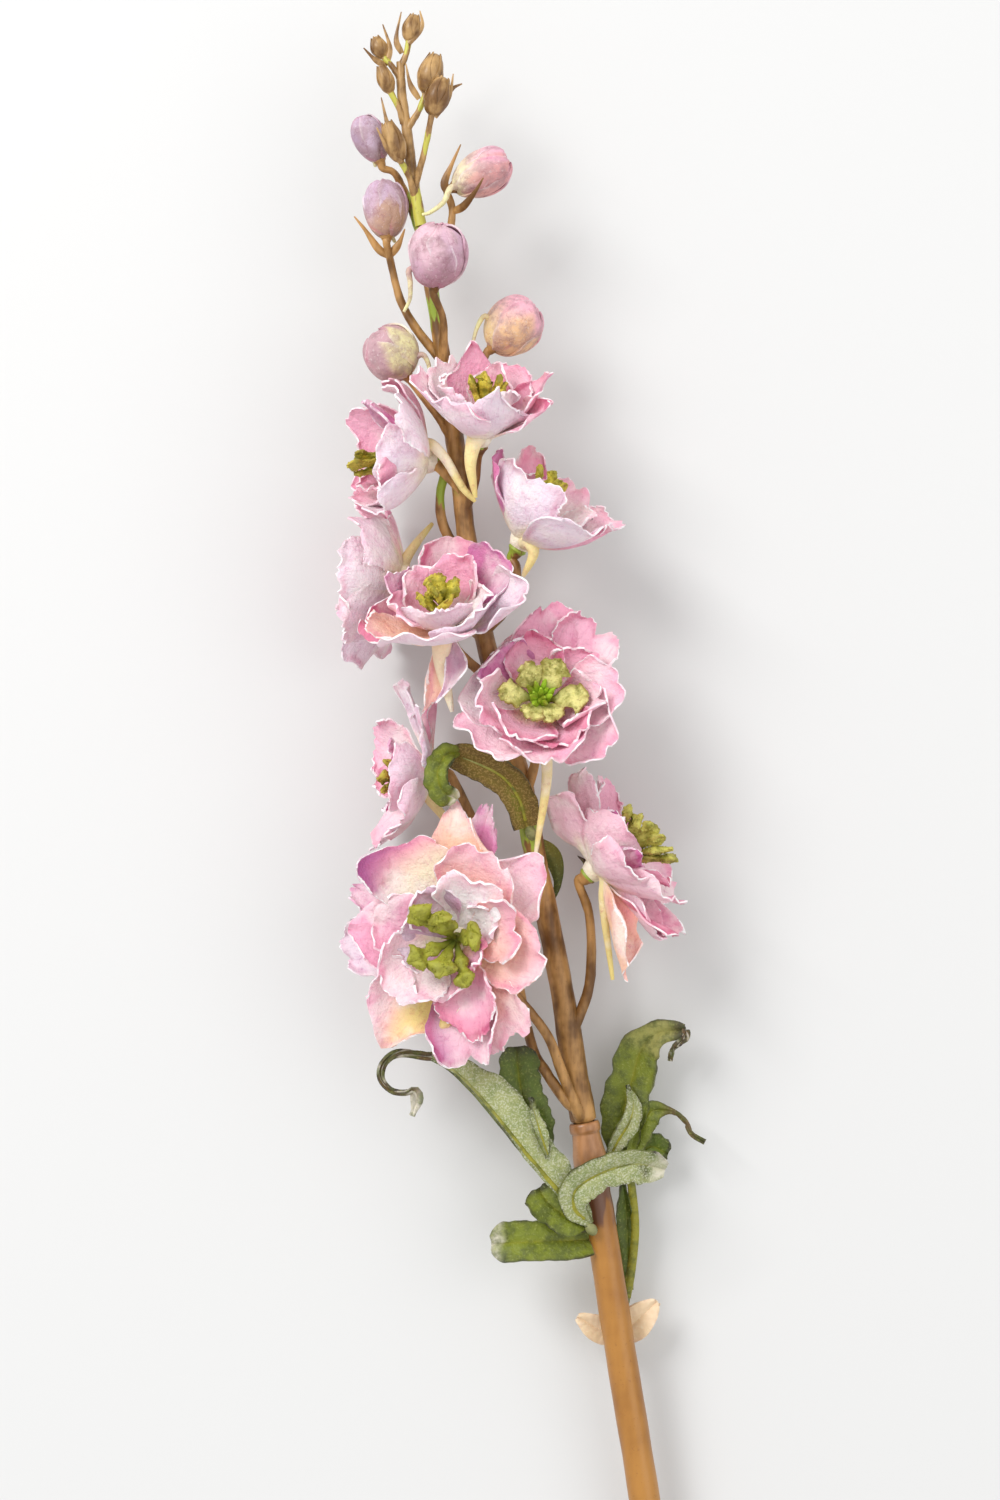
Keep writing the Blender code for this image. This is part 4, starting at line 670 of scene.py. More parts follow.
petalSheet = {
    "rows": 28, "columns": 22, "thickness": 0.36, "ruffle": 0.02, "flutter": 0.7, "crease": 0.34,
    "curl": 0.34, "rollDeg": 3, "tipRounding": 0.13, "staggerDeg": 8, "rootRadius": 1.9, "rootStep": 0.7,
    "lobed": 0.06, "crumbs": 0.028, "lip": (0.6, 0.9), "lipWidth": 1.2, "freeShare": 0.15,
    "rimThickness": (0.04, 0.20),
}
freePetals = {("9", 0, 1), ("9", 0, 10)}  # these pass in front of the flower behind them
# petals that don't have a round tip: bloom, ring and place in the ring
petalForms = {
    ("1", 0, 0): "point", ("1", 0, 4): "point", ("2", 0, 1): "square", ("3", 0, 0): "square",
    ("4", 0, 1): "point", ("4", 0, 4): "square", ("5", 0, 0): "square", ("5", 0, 1): "notch",
    ("5", 0, 5): "square", ("6", 0, 0): "notch", ("6", 0, 1): "notch", ("6", 0, 5): "square",
    ("6", 1, 2): "notch", ("7", 0, 1): "point", ("8", 0, 1): "square", ("9", 0, 0): "corner",
    ("9", 0, 1): "point", ("9", 0, 3): "point", ("9", 0, 5): "square", ("9", 0, 6): "notch",
    ("9", 0, 7): "slant", ("9", 1, 0): "square", ("9", 1, 4): "square",
}
# degrees a petal is twisted about its length
petalTurns = {("8", 0, 0): 50, ("8", 0, 1): 55, ("8", 0, 2): 18}
seatSize = {
    "radius": 3.0, "back": 2.4, "waist": 1.2, "front": 1.0, "calyx": 2.1, "gap": 0.3, "sides": 20,
}
pressSize = {"margin": 0.75, "band": 3.0}

axisRoute = [
    (18.4, 52.6, 0.0, 2.9), (16.5, 63.8, 0.0, 2.8), (13.6, 81.4, 0.0, 2.6), (10.6, 96.8, 0.0, 2.5),
    (7.5, 112.2, 0.0, 2.4), (5.1, 125.4, 0.0, 2.4), (1.5, 138.6, 0.0, 2.3), (-2.2, 154.0, 0.0, 2.2),
    (-4.8, 165.0, 0.0, 2.2), (-7.3, 180.4, 0.0, 2.1), (-9.0, 195.8, 0.0, 2.1), (-10.8, 207.9, 0.0, 2.0),
    (-12.1, 217.8, 0.0, 1.8), (-14.3, 231.0, 0.0, 1.5), (-15.8, 239.8, 0.0, 1.4), (-17.3, 249.0, 0.0, 1.3),
]
tipRoute = [
    (-17.4, 249.5, 0.0, 1.3), (-19.1, 259.6, 0.0, 1.2), (-20.2, 268.4, 0.0, 1.15),
    (-21.6, 278.3, 0.0, 1.1), (-21.9, 285.6, 0.0, 0.9),
]


def flowerFrame(face):
    out = unit(face)
    guide = np.array((0.0, 1.0, 0.0)) if abs(out[1]) < 0.9 else np.array((0.0, 0.0, 1.0))
    up = unit(guide - out * guide.dot(out))
    return out, up, np.cross(up, out)


def axisAt(height):  # the axis across and in depth, and its radius, at a height
    table = np.array(axisRoute + tipRoute[1:])
    return tuple(np.interp(height, table[:, 1], table[:, column]) for column in (0, 2, 3))


def siteOf(bloom):
    first = bloom["outer"][0]
    middle = math.radians((first[3] + first[4]) / 2)
    return np.array(bloom["base"]) + unit(bloom["face"]) * first[1] * math.cos(middle) * 0.6, bloom["reach"]


def pressPlanes(key):
    centre, reach = siteOf(blooms[key])
    planes = []
    for other, bloom in blooms.items():
        if other == key:
            continue
        far, farReach = siteOf(bloom)
        span = np.linalg.norm(far - centre)
        if span < reach + farReach:
            planes.append((centre, (far - centre) / span,
                           (span ** 2 + reach ** 2 - farReach ** 2) / (2 * span) - pressSize["margin"]))
    for bud in buds.values():
        far = np.array(bud["centre"])
        span = np.linalg.norm(far - centre)
        limit = span - max(bud["size"]) / 2 - 2 * seatSize["gap"]
        if limit < reach + 4:
            planes.append((centre, (far - centre) / span, limit - pressSize["margin"]))
    return planes


# petals bend along the planes between flowers, and stay on their side of the axis
def pressed(points, planes, bloom):
    flat = points.reshape(-1, 3).copy()
    band = pressSize["band"]
    for centre, side, limit in planes:
        over = (flat - centre) @ side - (limit - band)
        eased = band * (1 - np.exp(-np.maximum(over, 0) / band))
        flat -= np.outer(np.where(over > 0, over - eased, 0.0), side)
    base = bloom["base"]
    centreX, centreZ, _ = axisAt(base[1])
    side = unit((base[0] - centreX, 0.0, base[2] - centreZ))
    atX, atZ, radius = axisAt(flat[:, 1])
    depth = (flat[:, 0] - atX) * side[0] + (flat[:, 2] - atZ) * side[2]
    over = radius + pressSize["margin"] + band - depth
    eased = band * (1 - np.exp(-np.maximum(over, 0) / band))
    flat += np.outer(np.where(over > 0, over - eased, 0.0), side)
    return flat.reshape(points.shape)


def petalOutline(u, widest, fullness):
    rising = 0.16 + 0.84 * np.sin(np.pi / 2 * np.minimum(u / widest, 1.0)) ** 1.2
    return rising * np.sqrt(1 - (np.maximum(u - widest, 0.0) / (fullness - widest)) ** 2)


# how far each lengthwise line of the petal reaches, from its middle to its sides
def tipReach(form, v, rounding, skew):
    if form == "point":
        return 1.06 - 0.40 * np.abs(v - skew) ** 1.15
    if form == "slant":
        return 1.06 - 0.42 * np.abs(v + 0.25) ** 1.15
    if form == "corner":
        return 0.95 + 0.09 * v - 0.08 * v ** 6
    if form == "square":
        return 0.96 + 0.05 * v * v - 0.10 * v ** 6 + skew * v
    if form == "notch":
        return 1.02 - rounding * v * v - 0.12 * np.exp(-((v - 2 * skew) / 0.22) ** 2)
    return 1 - rounding * v * v + skew * v


# sharp shallow folds, as in crushed paper, over a petal, bud or leaf measured in millimetres
def creases(draw, across, along, count, spacing):
    total = 0.0 * across * along
    for _ in range(count):
        turn = draw.uniform(0, math.pi)
        wave = (across * math.cos(turn) + along * math.sin(turn)) / (spacing * draw.uniform(0.7, 1.5))
        wave = wave + 0.25 * np.sin(wave * 1.7 + draw.uniform(0, 6)) + draw.uniform(0, 6)
        total = total + draw.uniform(0.5, 1.0) * (np.abs(((wave / math.pi) % 2) - 1) - 0.5)
    return total / count


def petalGrid(key, petal, level, index, draw):
    bloom, form = blooms[key], petalForms.get((key, level, index), "round")
    clock, length, width, rootDeg, tipDeg, lift = petal[:6]
    sheet = petalSheet
    rows, columns = sheet["rows"], sheet["columns"]
    tilt = (index % 2 - 0.5) * sheet["staggerDeg"]
    phase = 1.7 * index + 0.9 * level
    out, up, right = flowerFrame(bloom["face"])
    clock = math.radians(clock)
    radial = up * math.cos(clock) + right * math.sin(clock)
    across = np.cross(out, radial)
    # finer cells towards the torn edge and the sides
    u = (1 - (1 - np.linspace(0, 1, rows + 1)) ** 1.25)[:, None]
    v = np.linspace(-1, 1, columns + 1)[None, :]
    v = np.sin(v * np.pi / 2) * 0.45 + v * 0.55
    rounding = sheet["tipRounding"] * draw.uniform(0.3, 1.9)
    skew = draw.uniform(-0.07, 0.07)
    widest = draw.uniform(0.60, 0.76)
    fullness = 1.35 if form in ("square", "corner", "slant") else 1.14
    crumbs = sheet["crumbs"] * draw.choice((0.2, 0.5, 1.4))
    torn = sheet["lobed"] * ripple(draw, (0.8, 1.6, 2.7), columns + 1)
    torn = (torn + crumbs * ripple(draw, (5, 8, 11), columns + 1))[None, :]
    reach = u * (1 + (tipReach(form, v, rounding, skew) - 1) * u) * (1 + torn * u ** 4)
    steps = np.linspace(0, 1.3, 131)
    tipCurl = draw.uniform(-22, 30) * ease(0.78, 1.05, steps)
    lean = np.radians(rootDeg + tilt + (tipDeg - rootDeg) * steps ** 1.1 + tipCurl)
    runs, rises = (np.concatenate([[0], np.cumsum(turn(lean)[:-1] * steps[1])]) for turn in (np.sin, np.cos))
    run, rise, lean = (np.interp(reach, steps, table)[..., None] for table in (runs, rises, lean))
    normal = out * np.sin(lean) - radial * np.cos(lean)
    roll = sheet["rollDeg"] + petalTurns.get((key, level, index), 0) * ease(0.0, 0.35, u)
    roll = np.radians(roll)[..., None]
    side = across * np.cos(roll) + normal * np.sin(roll)
    normal = normal * np.cos(roll) - across * np.sin(roll)
    before, after = (sheet["lobed"] * ripple(draw, (0.9, 1.8, 3.1), rows + 1)
                     + crumbs * ripple(draw, (6, 9, 13), rows + 1) for _ in range(2))
    sides = np.where(v < 0, before[:, None], after[:, None])
    half = width / 2 * petalOutline(u, widest, fullness) * (1 + 1.5 * sides * np.abs(v) ** 3)
    edge = np.maximum(np.abs(v) ** 4 * ease(0.25, 0.6, u), u ** 10)
    wave = sheet["ruffle"] * length * np.sin(phase + 3.1 * v) * u * u
    around = 5.0 * u * np.sign(v) + 4.0 * v
    wave = wave + sheet["flutter"] * edge * np.sin(phase * 2.3 + around) * draw.uniform(0.8, 1.8)
    wave = wave + 0.55 * sheet["flutter"] * edge * np.sin(phase * 4.1 + 2.3 * around)
    curls = np.where(v < 0, draw.uniform(-0.5, 1.0), draw.uniform(-0.5, 1.0)) * sheet["curl"]
    wave = wave + curls * half * np.abs(v) ** 3 * ease(0.2, 0.8, u)
    folds = creases(draw, half * v, u * length, 4, 2.1) + 0.7 * creases(draw, half * v, u * length, 3, 4.2)
    wave = wave + sheet["crease"] * folds * ease(0.05, 0.3, u) * min(length / 16, 1.2)
    groove = np.exp(-((half * (v - 0.25 * skew)) / 0.8) ** 2) * u * (1 - 0.7 * u)
    wave = wave - draw.uniform(0.1, 0.7) * groove
    rim = np.minimum(half * (1 - np.abs(v)), (1 - u) * length * (1 - 0.1 * v * v))
    lips = sheet["lip"][level] * draw.uniform(0.2, 1.2) * np.sin(phase + 3.5 * v + 2.5 * u) ** 2
    wave = wave - lips * np.exp(-(rim / sheet["lipWidth"]) ** 2) * ease(0.3, 0.6, u)  # the rim turns outwards
    height = (lift * half * v * v + wave)[..., None]
    base = np.array(bloom["base"]) + out * sheet["rootStep"] * (level - 1)
    grid = (base + radial * (sheet["rootRadius"] + run * length) + out * (rise * length)
            + side * (half * v)[..., None] + normal * height)
    return grid, np.broadcast_to(u, half.shape), np.broadcast_to(v, half.shape), rim, half


def petalTints(style, u, v, rim, draw):
    root, body, tip, line, lineStrength, back = petalStyles[style]
    lean = draw.uniform(-0.6, 0.6)
    lighter = draw.uniform(-0.04, 0.10)
    tone = blendOf(root, body, ease(0.12, 0.50, u + 0.06 * np.sin(4 * v)))
    tone = blendOf(tone, tip, ease(0.55, 1.02, u + 0.18 * v * lean) * draw.uniform(0.7, 1.0))
    if style == "purpleTip":
        tone = blendOf(tone, purple, 0.9 * ease(0.40, 1.0, u * 0.65 + v * 0.38))
    if style == "yolk":
        tone = blendOf(tone, pink, ease(0.05, 0.85, 0.25 * u - 0.8 * v))
    if style == "purpleSide":
        tone = blendOf(tone, purple, 0.8 * ease(0.50, 1.15, 0.5 * u - 0.7 * v))
    tone = blendOf(tone, white, max(lighter, 0))
    patch = 0.5 + 0.5 * np.sin(5 * u + 6 * v * lean + 9 * lean)
    inner = np.exp(-((rim - 0.9) / 0.7) ** 2) * lineStrength * patch
    wide = np.exp(-rim / 3.2) * 0.35 * lineStrength
    faceTint = blendOf(tone, line, np.clip(inner + wide, 0, 1) * ease(0.1, 0.4, u))
    backTone = blendOf(cream, blendOf(tone, back, 0.6), ease(0.05, 0.42, u + 0.08 * np.sin(5 * v + 9 * lean)))
    backTint = blendOf(backTone, line, np.clip(inner * 0.9, 0, 1) * ease(0.1, 0.4, u))
    return faceTint, backTint


spurLook = {"foot": paint(0.96, 0.89, 0.72), "end": paint(0.88, 0.80, 0.50), "endRadius": 0.42, "sides": 14}
spurLooks = {"5": dict(spurLook, foot=peach, end=cream)}
spurWidths = {"1": 2.2, "2": 1.4, "3": 1.9, "4": 1.4, "5": 3.4, "6": 2.0, "7": 1.4, "8": 1.6, "9": 1.5}


def makeBloom(key):
    bloom = blooms[key]
    draw = random.Random("fine petals " + key)
    planes = pressPlanes(key)
    out = unit(bloom["face"])
    base = np.array(bloom["base"])
    shell = Shell()
    stem = base + np.outer((-seatSize["back"], -seatSize["waist"], 0.0, seatSize["front"]), out)
    addRod(shell, stem, seatSize["radius"] * np.array((0.75, 0.9, 1.0, 0.8)), seatSize["sides"], cream)
    for level, ring in enumerate((bloom["outer"], bloom["inner"])):
        for index, petal in enumerate(ring):
            grid, u, v, rim, half = petalGrid(key, petal, level, index, draw)
            bent = pressed(grid, planes, bloom)
            share = petalSheet["freeShare"] if (key, level, index) in freePetals else 1.0
            keep = ease(0.0, 0.2, u)[..., None] * share
            grid = grid * (1 - keep) + bent * keep
            faceTint, backTint = petalTints(petal[6], u, v, rim, draw)
            patches = 0.64 + 0.3 * np.sin(5 * u + 4 * v + index) + 0.2 * np.sin(17 * u - 13 * v + 2 * index)
            frost = np.exp(-rim / 0.42) * patches * ease(0.15, 0.35, u)
            sheetMap = np.stack([half * v / 10, u * petal[1] / 10], -1)
            thickness = petalSheet["thickness"] + petalSheet["rimThickness"][level] * np.exp(-rim / 0.5)
            addSheet(shell, grid, thickness, faceTint, backTint, (0, 0, 1), frost, sheetMap, mirrored=False)
    path = smoothPath([base - out * 0.8, *bloom["spur"]], 6)
    share = np.linspace(0, 1, len(path))
    look = spurLooks.get(key, spurLook)
    radii = spurWidths[key] * (1 - share) ** 0.8 + look["endRadius"] * share ** 0.5
    addRod(shell, path, radii, look["sides"], blendOf(look["foot"], look["end"], share))
    seat(shell.piece("bloom_petals_" + key, (petalPaper, frostedEdge)), "petal", "bloom_" + key)


# node trees

def newTree(name, inputs):
    tree = bpy.data.node_groups.new(name, "GeometryNodeTree")
    tree.interface.new_socket("Geometry", in_out="OUTPUT", socket_type="NodeSocketGeometry")
    tree.interface.new_socket("Geometry", in_out="INPUT", socket_type="NodeSocketGeometry")
    for label, kind, value in (*inputs, ("Paint", "Material", None)):
        socket = tree.interface.new_socket(label, in_out="INPUT", socket_type="NodeSocket" + kind)
        if value is not None:
            socket.default_value = value
    return tree, tree.nodes.new("NodeGroupInput").outputs


def geometryNode(tree, kind, geometry, inputs=None):
    return addNode(tree, "GeometryNode" + kind, {"Geometry": geometry, **(inputs or {})}).outputs["Geometry"]


def unevenness(tree, geometry, scale, amount, detail):  # noise pushes the surface in and out
    noise = addNode(tree, "ShaderNodeTexNoise", {"Scale": scale, "Detail": detail}).outputs["Fac"]
    push = mathOf(tree, "MULTIPLY", mathOf(tree, "SUBTRACT", noise, 0.5), amount)
    normal = addNode(tree, "GeometryNodeInputNormal").outputs["Normal"]
    offset = addNode(tree, "ShaderNodeVectorMath", {0: normal, "Scale": push}, operation="SCALE")
    return geometryNode(tree, "SetPosition", geometry, {"Offset": offset.outputs["Vector"]})


def namedValue(tree, name):
    node = addNode(tree, "GeometryNodeInputNamedAttribute", {"Name": name}, data_type="FLOAT")
    return node.outputs["Attribute"]


def finishedTree(tree, geometry, given):
    whole = geometryNode(tree, "RealizeInstances", geometryNode(tree, "SetShadeSmooth", geometry))
    coat = geometryNode(tree, "SetMaterial", whole, {"Material": given["Paint"]})
    addNode(tree, "NodeGroupOutput", {"Geometry": coat})
    return tree


def sweepTree():  # a route with a girth attribute becomes a closed, slightly uneven stem
    tree, given = newTree("sweptStem", (
        ("Sides", "Int", 12), ("Unevenness", "Float", 0.00012), ("Grain", "Float", 300.0),
    ))
    route = addNode(tree, "GeometryNodeMeshToCurve", {"Mesh": given["Geometry"]}).outputs["Curve"]
    ring = addNode(tree, "GeometryNodeCurvePrimitiveCircle", {"Radius": 1.0, "Resolution": given["Sides"]})
    sweep = addNode(tree, "GeometryNodeCurveToMesh", {
        "Curve": route, "Scale": namedValue(tree, "girth"), "Profile Curve": ring.outputs["Curve"],
        "Fill Caps": True,
    })
    weld = geometryNode(tree, "MergeByDistance", sweep.outputs["Mesh"], {"Distance": 0.000002})
    return finishedTree(tree, unevenness(tree, weld, given["Grain"], given["Unevenness"], 2.0), given)


def grainTree():  # a lobed blade with grains of pollen scattered over it
    tree, given = newTree("pollenGrains", (
        ("Grain Size", "Float", 0.0003), ("Density", "Float", 400000.0), ("Swell", "Float", 0.0003),
        ("Lumpiness", "Float", 700.0), ("Seed", "Int", 4),
    ))
    blade = unevenness(tree, given["Geometry"], given["Lumpiness"], given["Swell"], 3.0)
    dusty = addNode(tree, "FunctionNodeCompare", {0: namedValue(tree, "pollen"), 1: 0.5},
                    data_type="FLOAT", operation="GREATER_THAN")
    scatter = addNode(tree, "GeometryNodeDistributePointsOnFaces", {
        "Mesh": blade, "Selection": dusty.outputs["Result"], "Density": given["Density"],
        "Seed": given["Seed"],
    }, distribute_method="RANDOM")
    size = addNode(tree, "FunctionNodeRandomValue", {2: 0.5, 3: 1.4, "Seed": given["Seed"]})
    grain = addNode(tree, "GeometryNodeMeshIcoSphere", {"Radius": given["Grain Size"], "Subdivisions": 1})
    onPoints = addNode(tree, "GeometryNodeInstanceOnPoints", {
        "Points": scatter.outputs["Points"], "Instance": grain.outputs["Mesh"], "Scale": size.outputs[1],
    })
    join = addNode(tree, "GeometryNodeJoinGeometry", {"Geometry": blade})
    fill(tree, join, {"Geometry": onPoints.outputs["Instances"]})
    return finishedTree(tree, join.outputs["Geometry"], given)


# gives an object the tree, and keeps only the plain mesh that comes out
def keptMesh(guide, tree, settings, name):
    modifier = guide.modifiers.new("grow", "NODES")
    modifier.node_group = tree
    sockets = {item.name: item.identifier for item in tree.interface.items_tree if item.in_out == "INPUT"}
    for label, value in settings.items():
        modifier[sockets[label]] = value
    graph = bpy.context.evaluated_depsgraph_get()
    made = bpy.data.meshes.new_from_object(guide.evaluated_get(graph))
    bpy.data.objects.remove(guide, do_unlink=True)
    made.name = name
    return newObject(name, made)


# runs the sweep on routes of (points, girths, how bare of paint) and keeps the plain mesh it makes
def grown(name, settings, routes):
    mesh = bpy.data.meshes.new(name + "_route")
    points, edges = [], []
    for path, girth, bareAndPaintedLight in routes:
        edges += [(len(points) + i, len(points) + i + 1) for i in range(len(path) - 1)]
        points += laid(path).tolist()
    mesh.from_pydata(points, edges, [])
    addValues(mesh, "girth", np.concatenate([girth for path, girth, bareAndPaintedLight in routes]) * millimetre)
    addValues(mesh, "bareAndPaintedLight", np.concatenate([bareAndPaintedLight for path, girth, bareAndPaintedLight in routes]))
    return keptMesh(newObject(name + "_route", mesh), sweptStem, settings, name)


sweptStem, pollenGrains = sweepTree(), grainTree()

armLook = {
    "rows": 26, "columns": 12, "stalk": 0.66, "spreadFrom": 0.30, "ragged": 0.30,
    "foot": paint(0.36, 0.41, 0.08), "edge": paint(0.50, 0.36, 0.12), "finger": paint(0.58, 0.72, 0.14),
    "button": (1.1, 1.5), "fingerTurn": 2.4, "fingerSides": 8,
}
pollenLook = {
    "Grain Size": 0.00024, "Density": 900000.0, "Swell": 0.0009, "Lumpiness": 620.0, "Paint": stamenPaint,
}
# half width, thickness, how knobbly, colour, brown at the edge, and the number and height of the green
# fingers in the middle
armKinds = {
    "9": (2.2, 2.1, 0.42, paint(0.62, 0.62, 0.19), 0.15, 4, 2.8),
    "6": (2.7, 0.8, 0.16, paint(0.86, 0.83, 0.52), 0.85, 13, 6.0),
    "5": (2.2, 1.1, 0.25, paint(0.84, 0.78, 0.27), 0.5, 3, 2.6),
    "8": (2.0, 1.3, 0.35, paint(0.80, 0.78, 0.38), 0.35, 4, 2.6),
    "1": (1.9, 1.0, 0.25, paint(0.88, 0.80, 0.28), 0.6, 3, 2.4),
    "3": (1.5, 1.0, 0.25, paint(0.80, 0.76, 0.26), 0.5, 3, 2.4),
    "2": (1.6, 1.0, 0.25, paint(0.76, 0.70, 0.24), 0.6, 3, 2.4),
}
plainArm = (1.4, 1.0, 0.2, paint(0.76, 0.70, 0.24), 0.4, 2, 2.4)


# a stamen: a stalk that opens to a knobbly club or a torn blade
def addArm(shell, start, end, out, kind, draw):
    wide, thick, knobs, colour, browned = kind[:5]
    wide = wide * draw.uniform(0.85, 1.12)
    rows, columns = armLook["rows"], armLook["columns"]
    span = np.array(end) - start
    low = unit(span - out * (span @ out))
    path = smoothPath([
        start, start + span * 0.35 - low * np.linalg.norm(span) * 0.05, start + span * 0.7 + out * 0.3,
        end + unit(span) * 0.5 - out * 0.5,
    ], 12)
    path = sampled(path, np.arange(len(path)), np.linspace(0, len(path) - 1, rows + 1))
    left, right = ripple(draw, (1.5, 3, 5), rows + 1), ripple(draw, (2, 3.5, 6), rows + 1)
    lean, beat = draw.uniform(-0.35, 0.35), draw.uniform(2.2, 3.0)
    u, v = sheetSpan(rows, columns)
    opening = ease(armLook["spreadFrom"], 0.62, u)
    swell = 1 + knobs * np.sin(2 * np.pi * (beat * u + lean)) * opening
    half = (armLook["stalk"] + (wide - armLook["stalk"]) * opening) * swell
    half = half * np.sqrt(np.maximum(1 - np.maximum(u - 0.76, 0) ** 2 / 0.061, 0.05))
    torn = 1 + armLook["ragged"] * np.where(v > 0, right[:, None], left[:, None]) * opening
    bend = 0.35 * half * v * v * (0.4 + lean) + 0.22 * np.sin(5 * u + 4 * v + 9 * lean) * opening
    grid = sheetGrid(path, out * math.cos(lean) + low * math.sin(lean), half * torn * v, bend)
    tone = blendOf(armLook["foot"], colour, ease(0.2, 0.6, u + 0.05 * (swell - 1)))
    brown = (np.abs(v) ** 5 + u ** 9) * browned * (0.6 + 0.4 * np.sin(9 * u + 5 * v))
    tone = blendOf(tone, armLook["edge"], np.clip(brown, 0, 0.9))
    rounded = np.sqrt(np.maximum(1 - v * v * 0.94, 0))
    rounded = rounded * np.sqrt(np.maximum(1 - np.maximum(u - 0.8, 0) ** 2 / 0.045, 0.06))
    thickness = (0.9 + (thick - 0.9) * ease(0.3, 0.6, u)) * rounded * swell + 0.12
    addSheet(shell, grid, thickness, tone, tone, (0, 0, 0), ease(0.4, 0.6, u), np.stack([-v, u], -1))


def makeStamens(key):
    bloom = blooms[key]
    draw = random.Random("fine stamens " + key)
    out, up, right = flowerFrame(bloom["face"])
    foot = np.array(bloom["base"]) + out * (seatSize["front"] + seatSize["gap"])
    kind = armKinds.get(key, plainArm)
    fingers, height = kind[5:]
    shell = Shell()
    for arm in bloom["arms"]:
        addArm(shell, foot + out * 0.8, arm, out, kind, draw)
    halfLength, radius = armLook["button"]
    addBall(shell, foot + out * halfLength, out * halfLength, radius, armLook["foot"], inset=0.1)
    for index in range(fingers):
        clock = armLook["fingerTurn"] * index
        away = (up * math.cos(clock) + right * math.sin(clock)) * math.sqrt((index + 0.5) / fingers)
        tall = out * height * draw.uniform(0.85, 1.25)
        path = smoothPath([foot + away * 1.2, foot + tall * 0.6 + away * 2.2, foot + tall + away * 3.6], 4)
        share = np.linspace(0, 1, len(path))
        tints = blendOf(armLook["foot"], armLook["finger"], ease(0.0, 0.5, share))
        radii = 0.15 * height * (1 + 0.2 * np.sin(6 * share)) * (1 - 0.75 * share ** 4)
        addRod(shell, path, radii, armLook["fingerSides"], tints)
    guide = shell.piece("stamen_shape_" + key, (stamenPaint,))
    guide.data.attributes["frost"].name = "pollen"
    item = keptMesh(guide, pollenGrains, {**pollenLook, "Seed": 11 + int(key)}, "stamen_arms_" + key)
    seat(item, "stamen", "stamens_" + key)


# buds

# round buds: centre, width and length, the way the tip points, spur as (across, along, forward),
# and the way that the side with the warm colour looks
buds = {
    "1": dict(centre=(-28.6, 268.8, -0.8), size=(7.2, 10.3), face=(-0.40, 0.90, 0.10),
              stalk=[(-17.3, 247.2, -1.0), (-18.4, 250.6, -3.8), (-20.6, 256.6, -4.4), (-23.2, 261.4, -2.4)],
              spur=[(-0.8, -4.4, 0.4), (-1.2, -5.2, 0.0), (-1.4, -5.9, -0.4)],
              foot=paint(0.66, 0.54, 0.54), crown=paint(0.70, 0.58, 0.67),
              warm=((0.3, 0.6, 1.0), paint(0.80, 0.70, 0.78))),
    "2": dict(centre=(-4.0, 260.7, 1.5), size=(9.6, 13.4), face=(0.90, 0.42, 0.10),
              stalk=[(-15.6, 236.0, 0.3), (-11.6, 246.0, 0.8), (-10.5, 252.6, 1.2)],
              spur=[(0.3, -7.6, 3.0), (2.4, -10.4, 3.0), (3.1, -14.0, 2.6), (2.7, -15.7, 2.2)],
              bracts=[[(-11.2, 256.2, 1.2), (-12.2, 258.6, 1.6), (-10.6, 262.6, 1.9), (-8.6, 267.0, 2.0)],
                      [(-10.4, 252.4, 1.2), (-8.0, 253.2, 3.4), (-5.4, 256.0, 5.9), (-3.6, 258.8, 7.0)]],
              foot=paint(0.92, 0.88, 0.70), crown=paint(0.90, 0.66, 0.74),
              warm=((0.6, -0.6, 0.6), paint(0.86, 0.60, 0.58))),
    "3": dict(centre=(-25.3, 253.4, -1.0), size=(9.6, 12.4), face=(-0.05, 1.00, -0.10),
              stalk=[(-13.6, 220.8, -0.4), (-18.7, 227.4, -1.2), (-22.0, 233.5, -1.5), (-24.0, 241.4, -1.5)],
              spur=[(0.8, -5.6, -0.6), (1.4, -6.6, -1.0), (1.8, -7.4, -1.4)],
              bracts=[[(-24.4, 243.0, -1.5), (-26.8, 244.6, -1.2), (-29.6, 248.6, -1.0),
                       (-32.1, 251.7, -1.0)],
                      [(-24.4, 243.0, -1.5), (-22.3, 245.6, -0.6), (-20.9, 248.8, 0.2)]],
              foot=paint(0.76, 0.62, 0.52), crown=paint(0.80, 0.68, 0.77),
              warm=((0.2, -0.9, 0.5), paint(0.74, 0.58, 0.48))),
    "4": dict(centre=(-13.6, 241.6, 9.4), size=(12.8, 13.6), face=(0.10, 0.95, 0.30),
              stalk=[(-12.6, 219.0, 0.8), (-12.4, 228.0, 4.2)],
              spur=[(-5.4, -3.6, 0.6), (-5.2, -7.0, 1.6), (-5.0, -10.4, 2.0), (-6.0, -13.4, 2.4)],
              foot=paint(0.72, 0.52, 0.58), crown=paint(0.82, 0.66, 0.74),
              warm=((-0.6, 0.7, 0.6), paint(0.88, 0.72, 0.76))),
    "5": dict(centre=(2.9, 227.6, -2.0), size=(12.2, 13.2), face=(0.70, 0.70, 0.05),
              stalk=[(-10.4, 207.0, -0.4), (-6.0, 214.5, -2.2)],
              spur=[(-5.5, -2.6, 1.4), (-5.4, -5.8, 1.6), (-2.8, -10.2, 1.8)],
              foot=paint(0.94, 0.84, 0.62), crown=paint(0.93, 0.68, 0.74),
              warm=((0.1, -0.9, 0.5), paint(0.92, 0.74, 0.54))),
    "6": dict(centre=(-24.0, 221.2, 0.5), size=(12.0, 11.8), face=(-0.60, 0.80, 0.10),
              stalk=[(-10.0, 201.0, 0.4), (-13.4, 207.0, 0.8)],
              spur=[(5.2, -4.2, 1.8), (5.2, -7.0, 1.8), (3.0, -10.2, 1.8)],
              foot=paint(0.82, 0.68, 0.66), crown=paint(0.76, 0.60, 0.63),
              warm=((0.9, 0.1, 0.5), paint(0.92, 0.89, 0.64))),
}
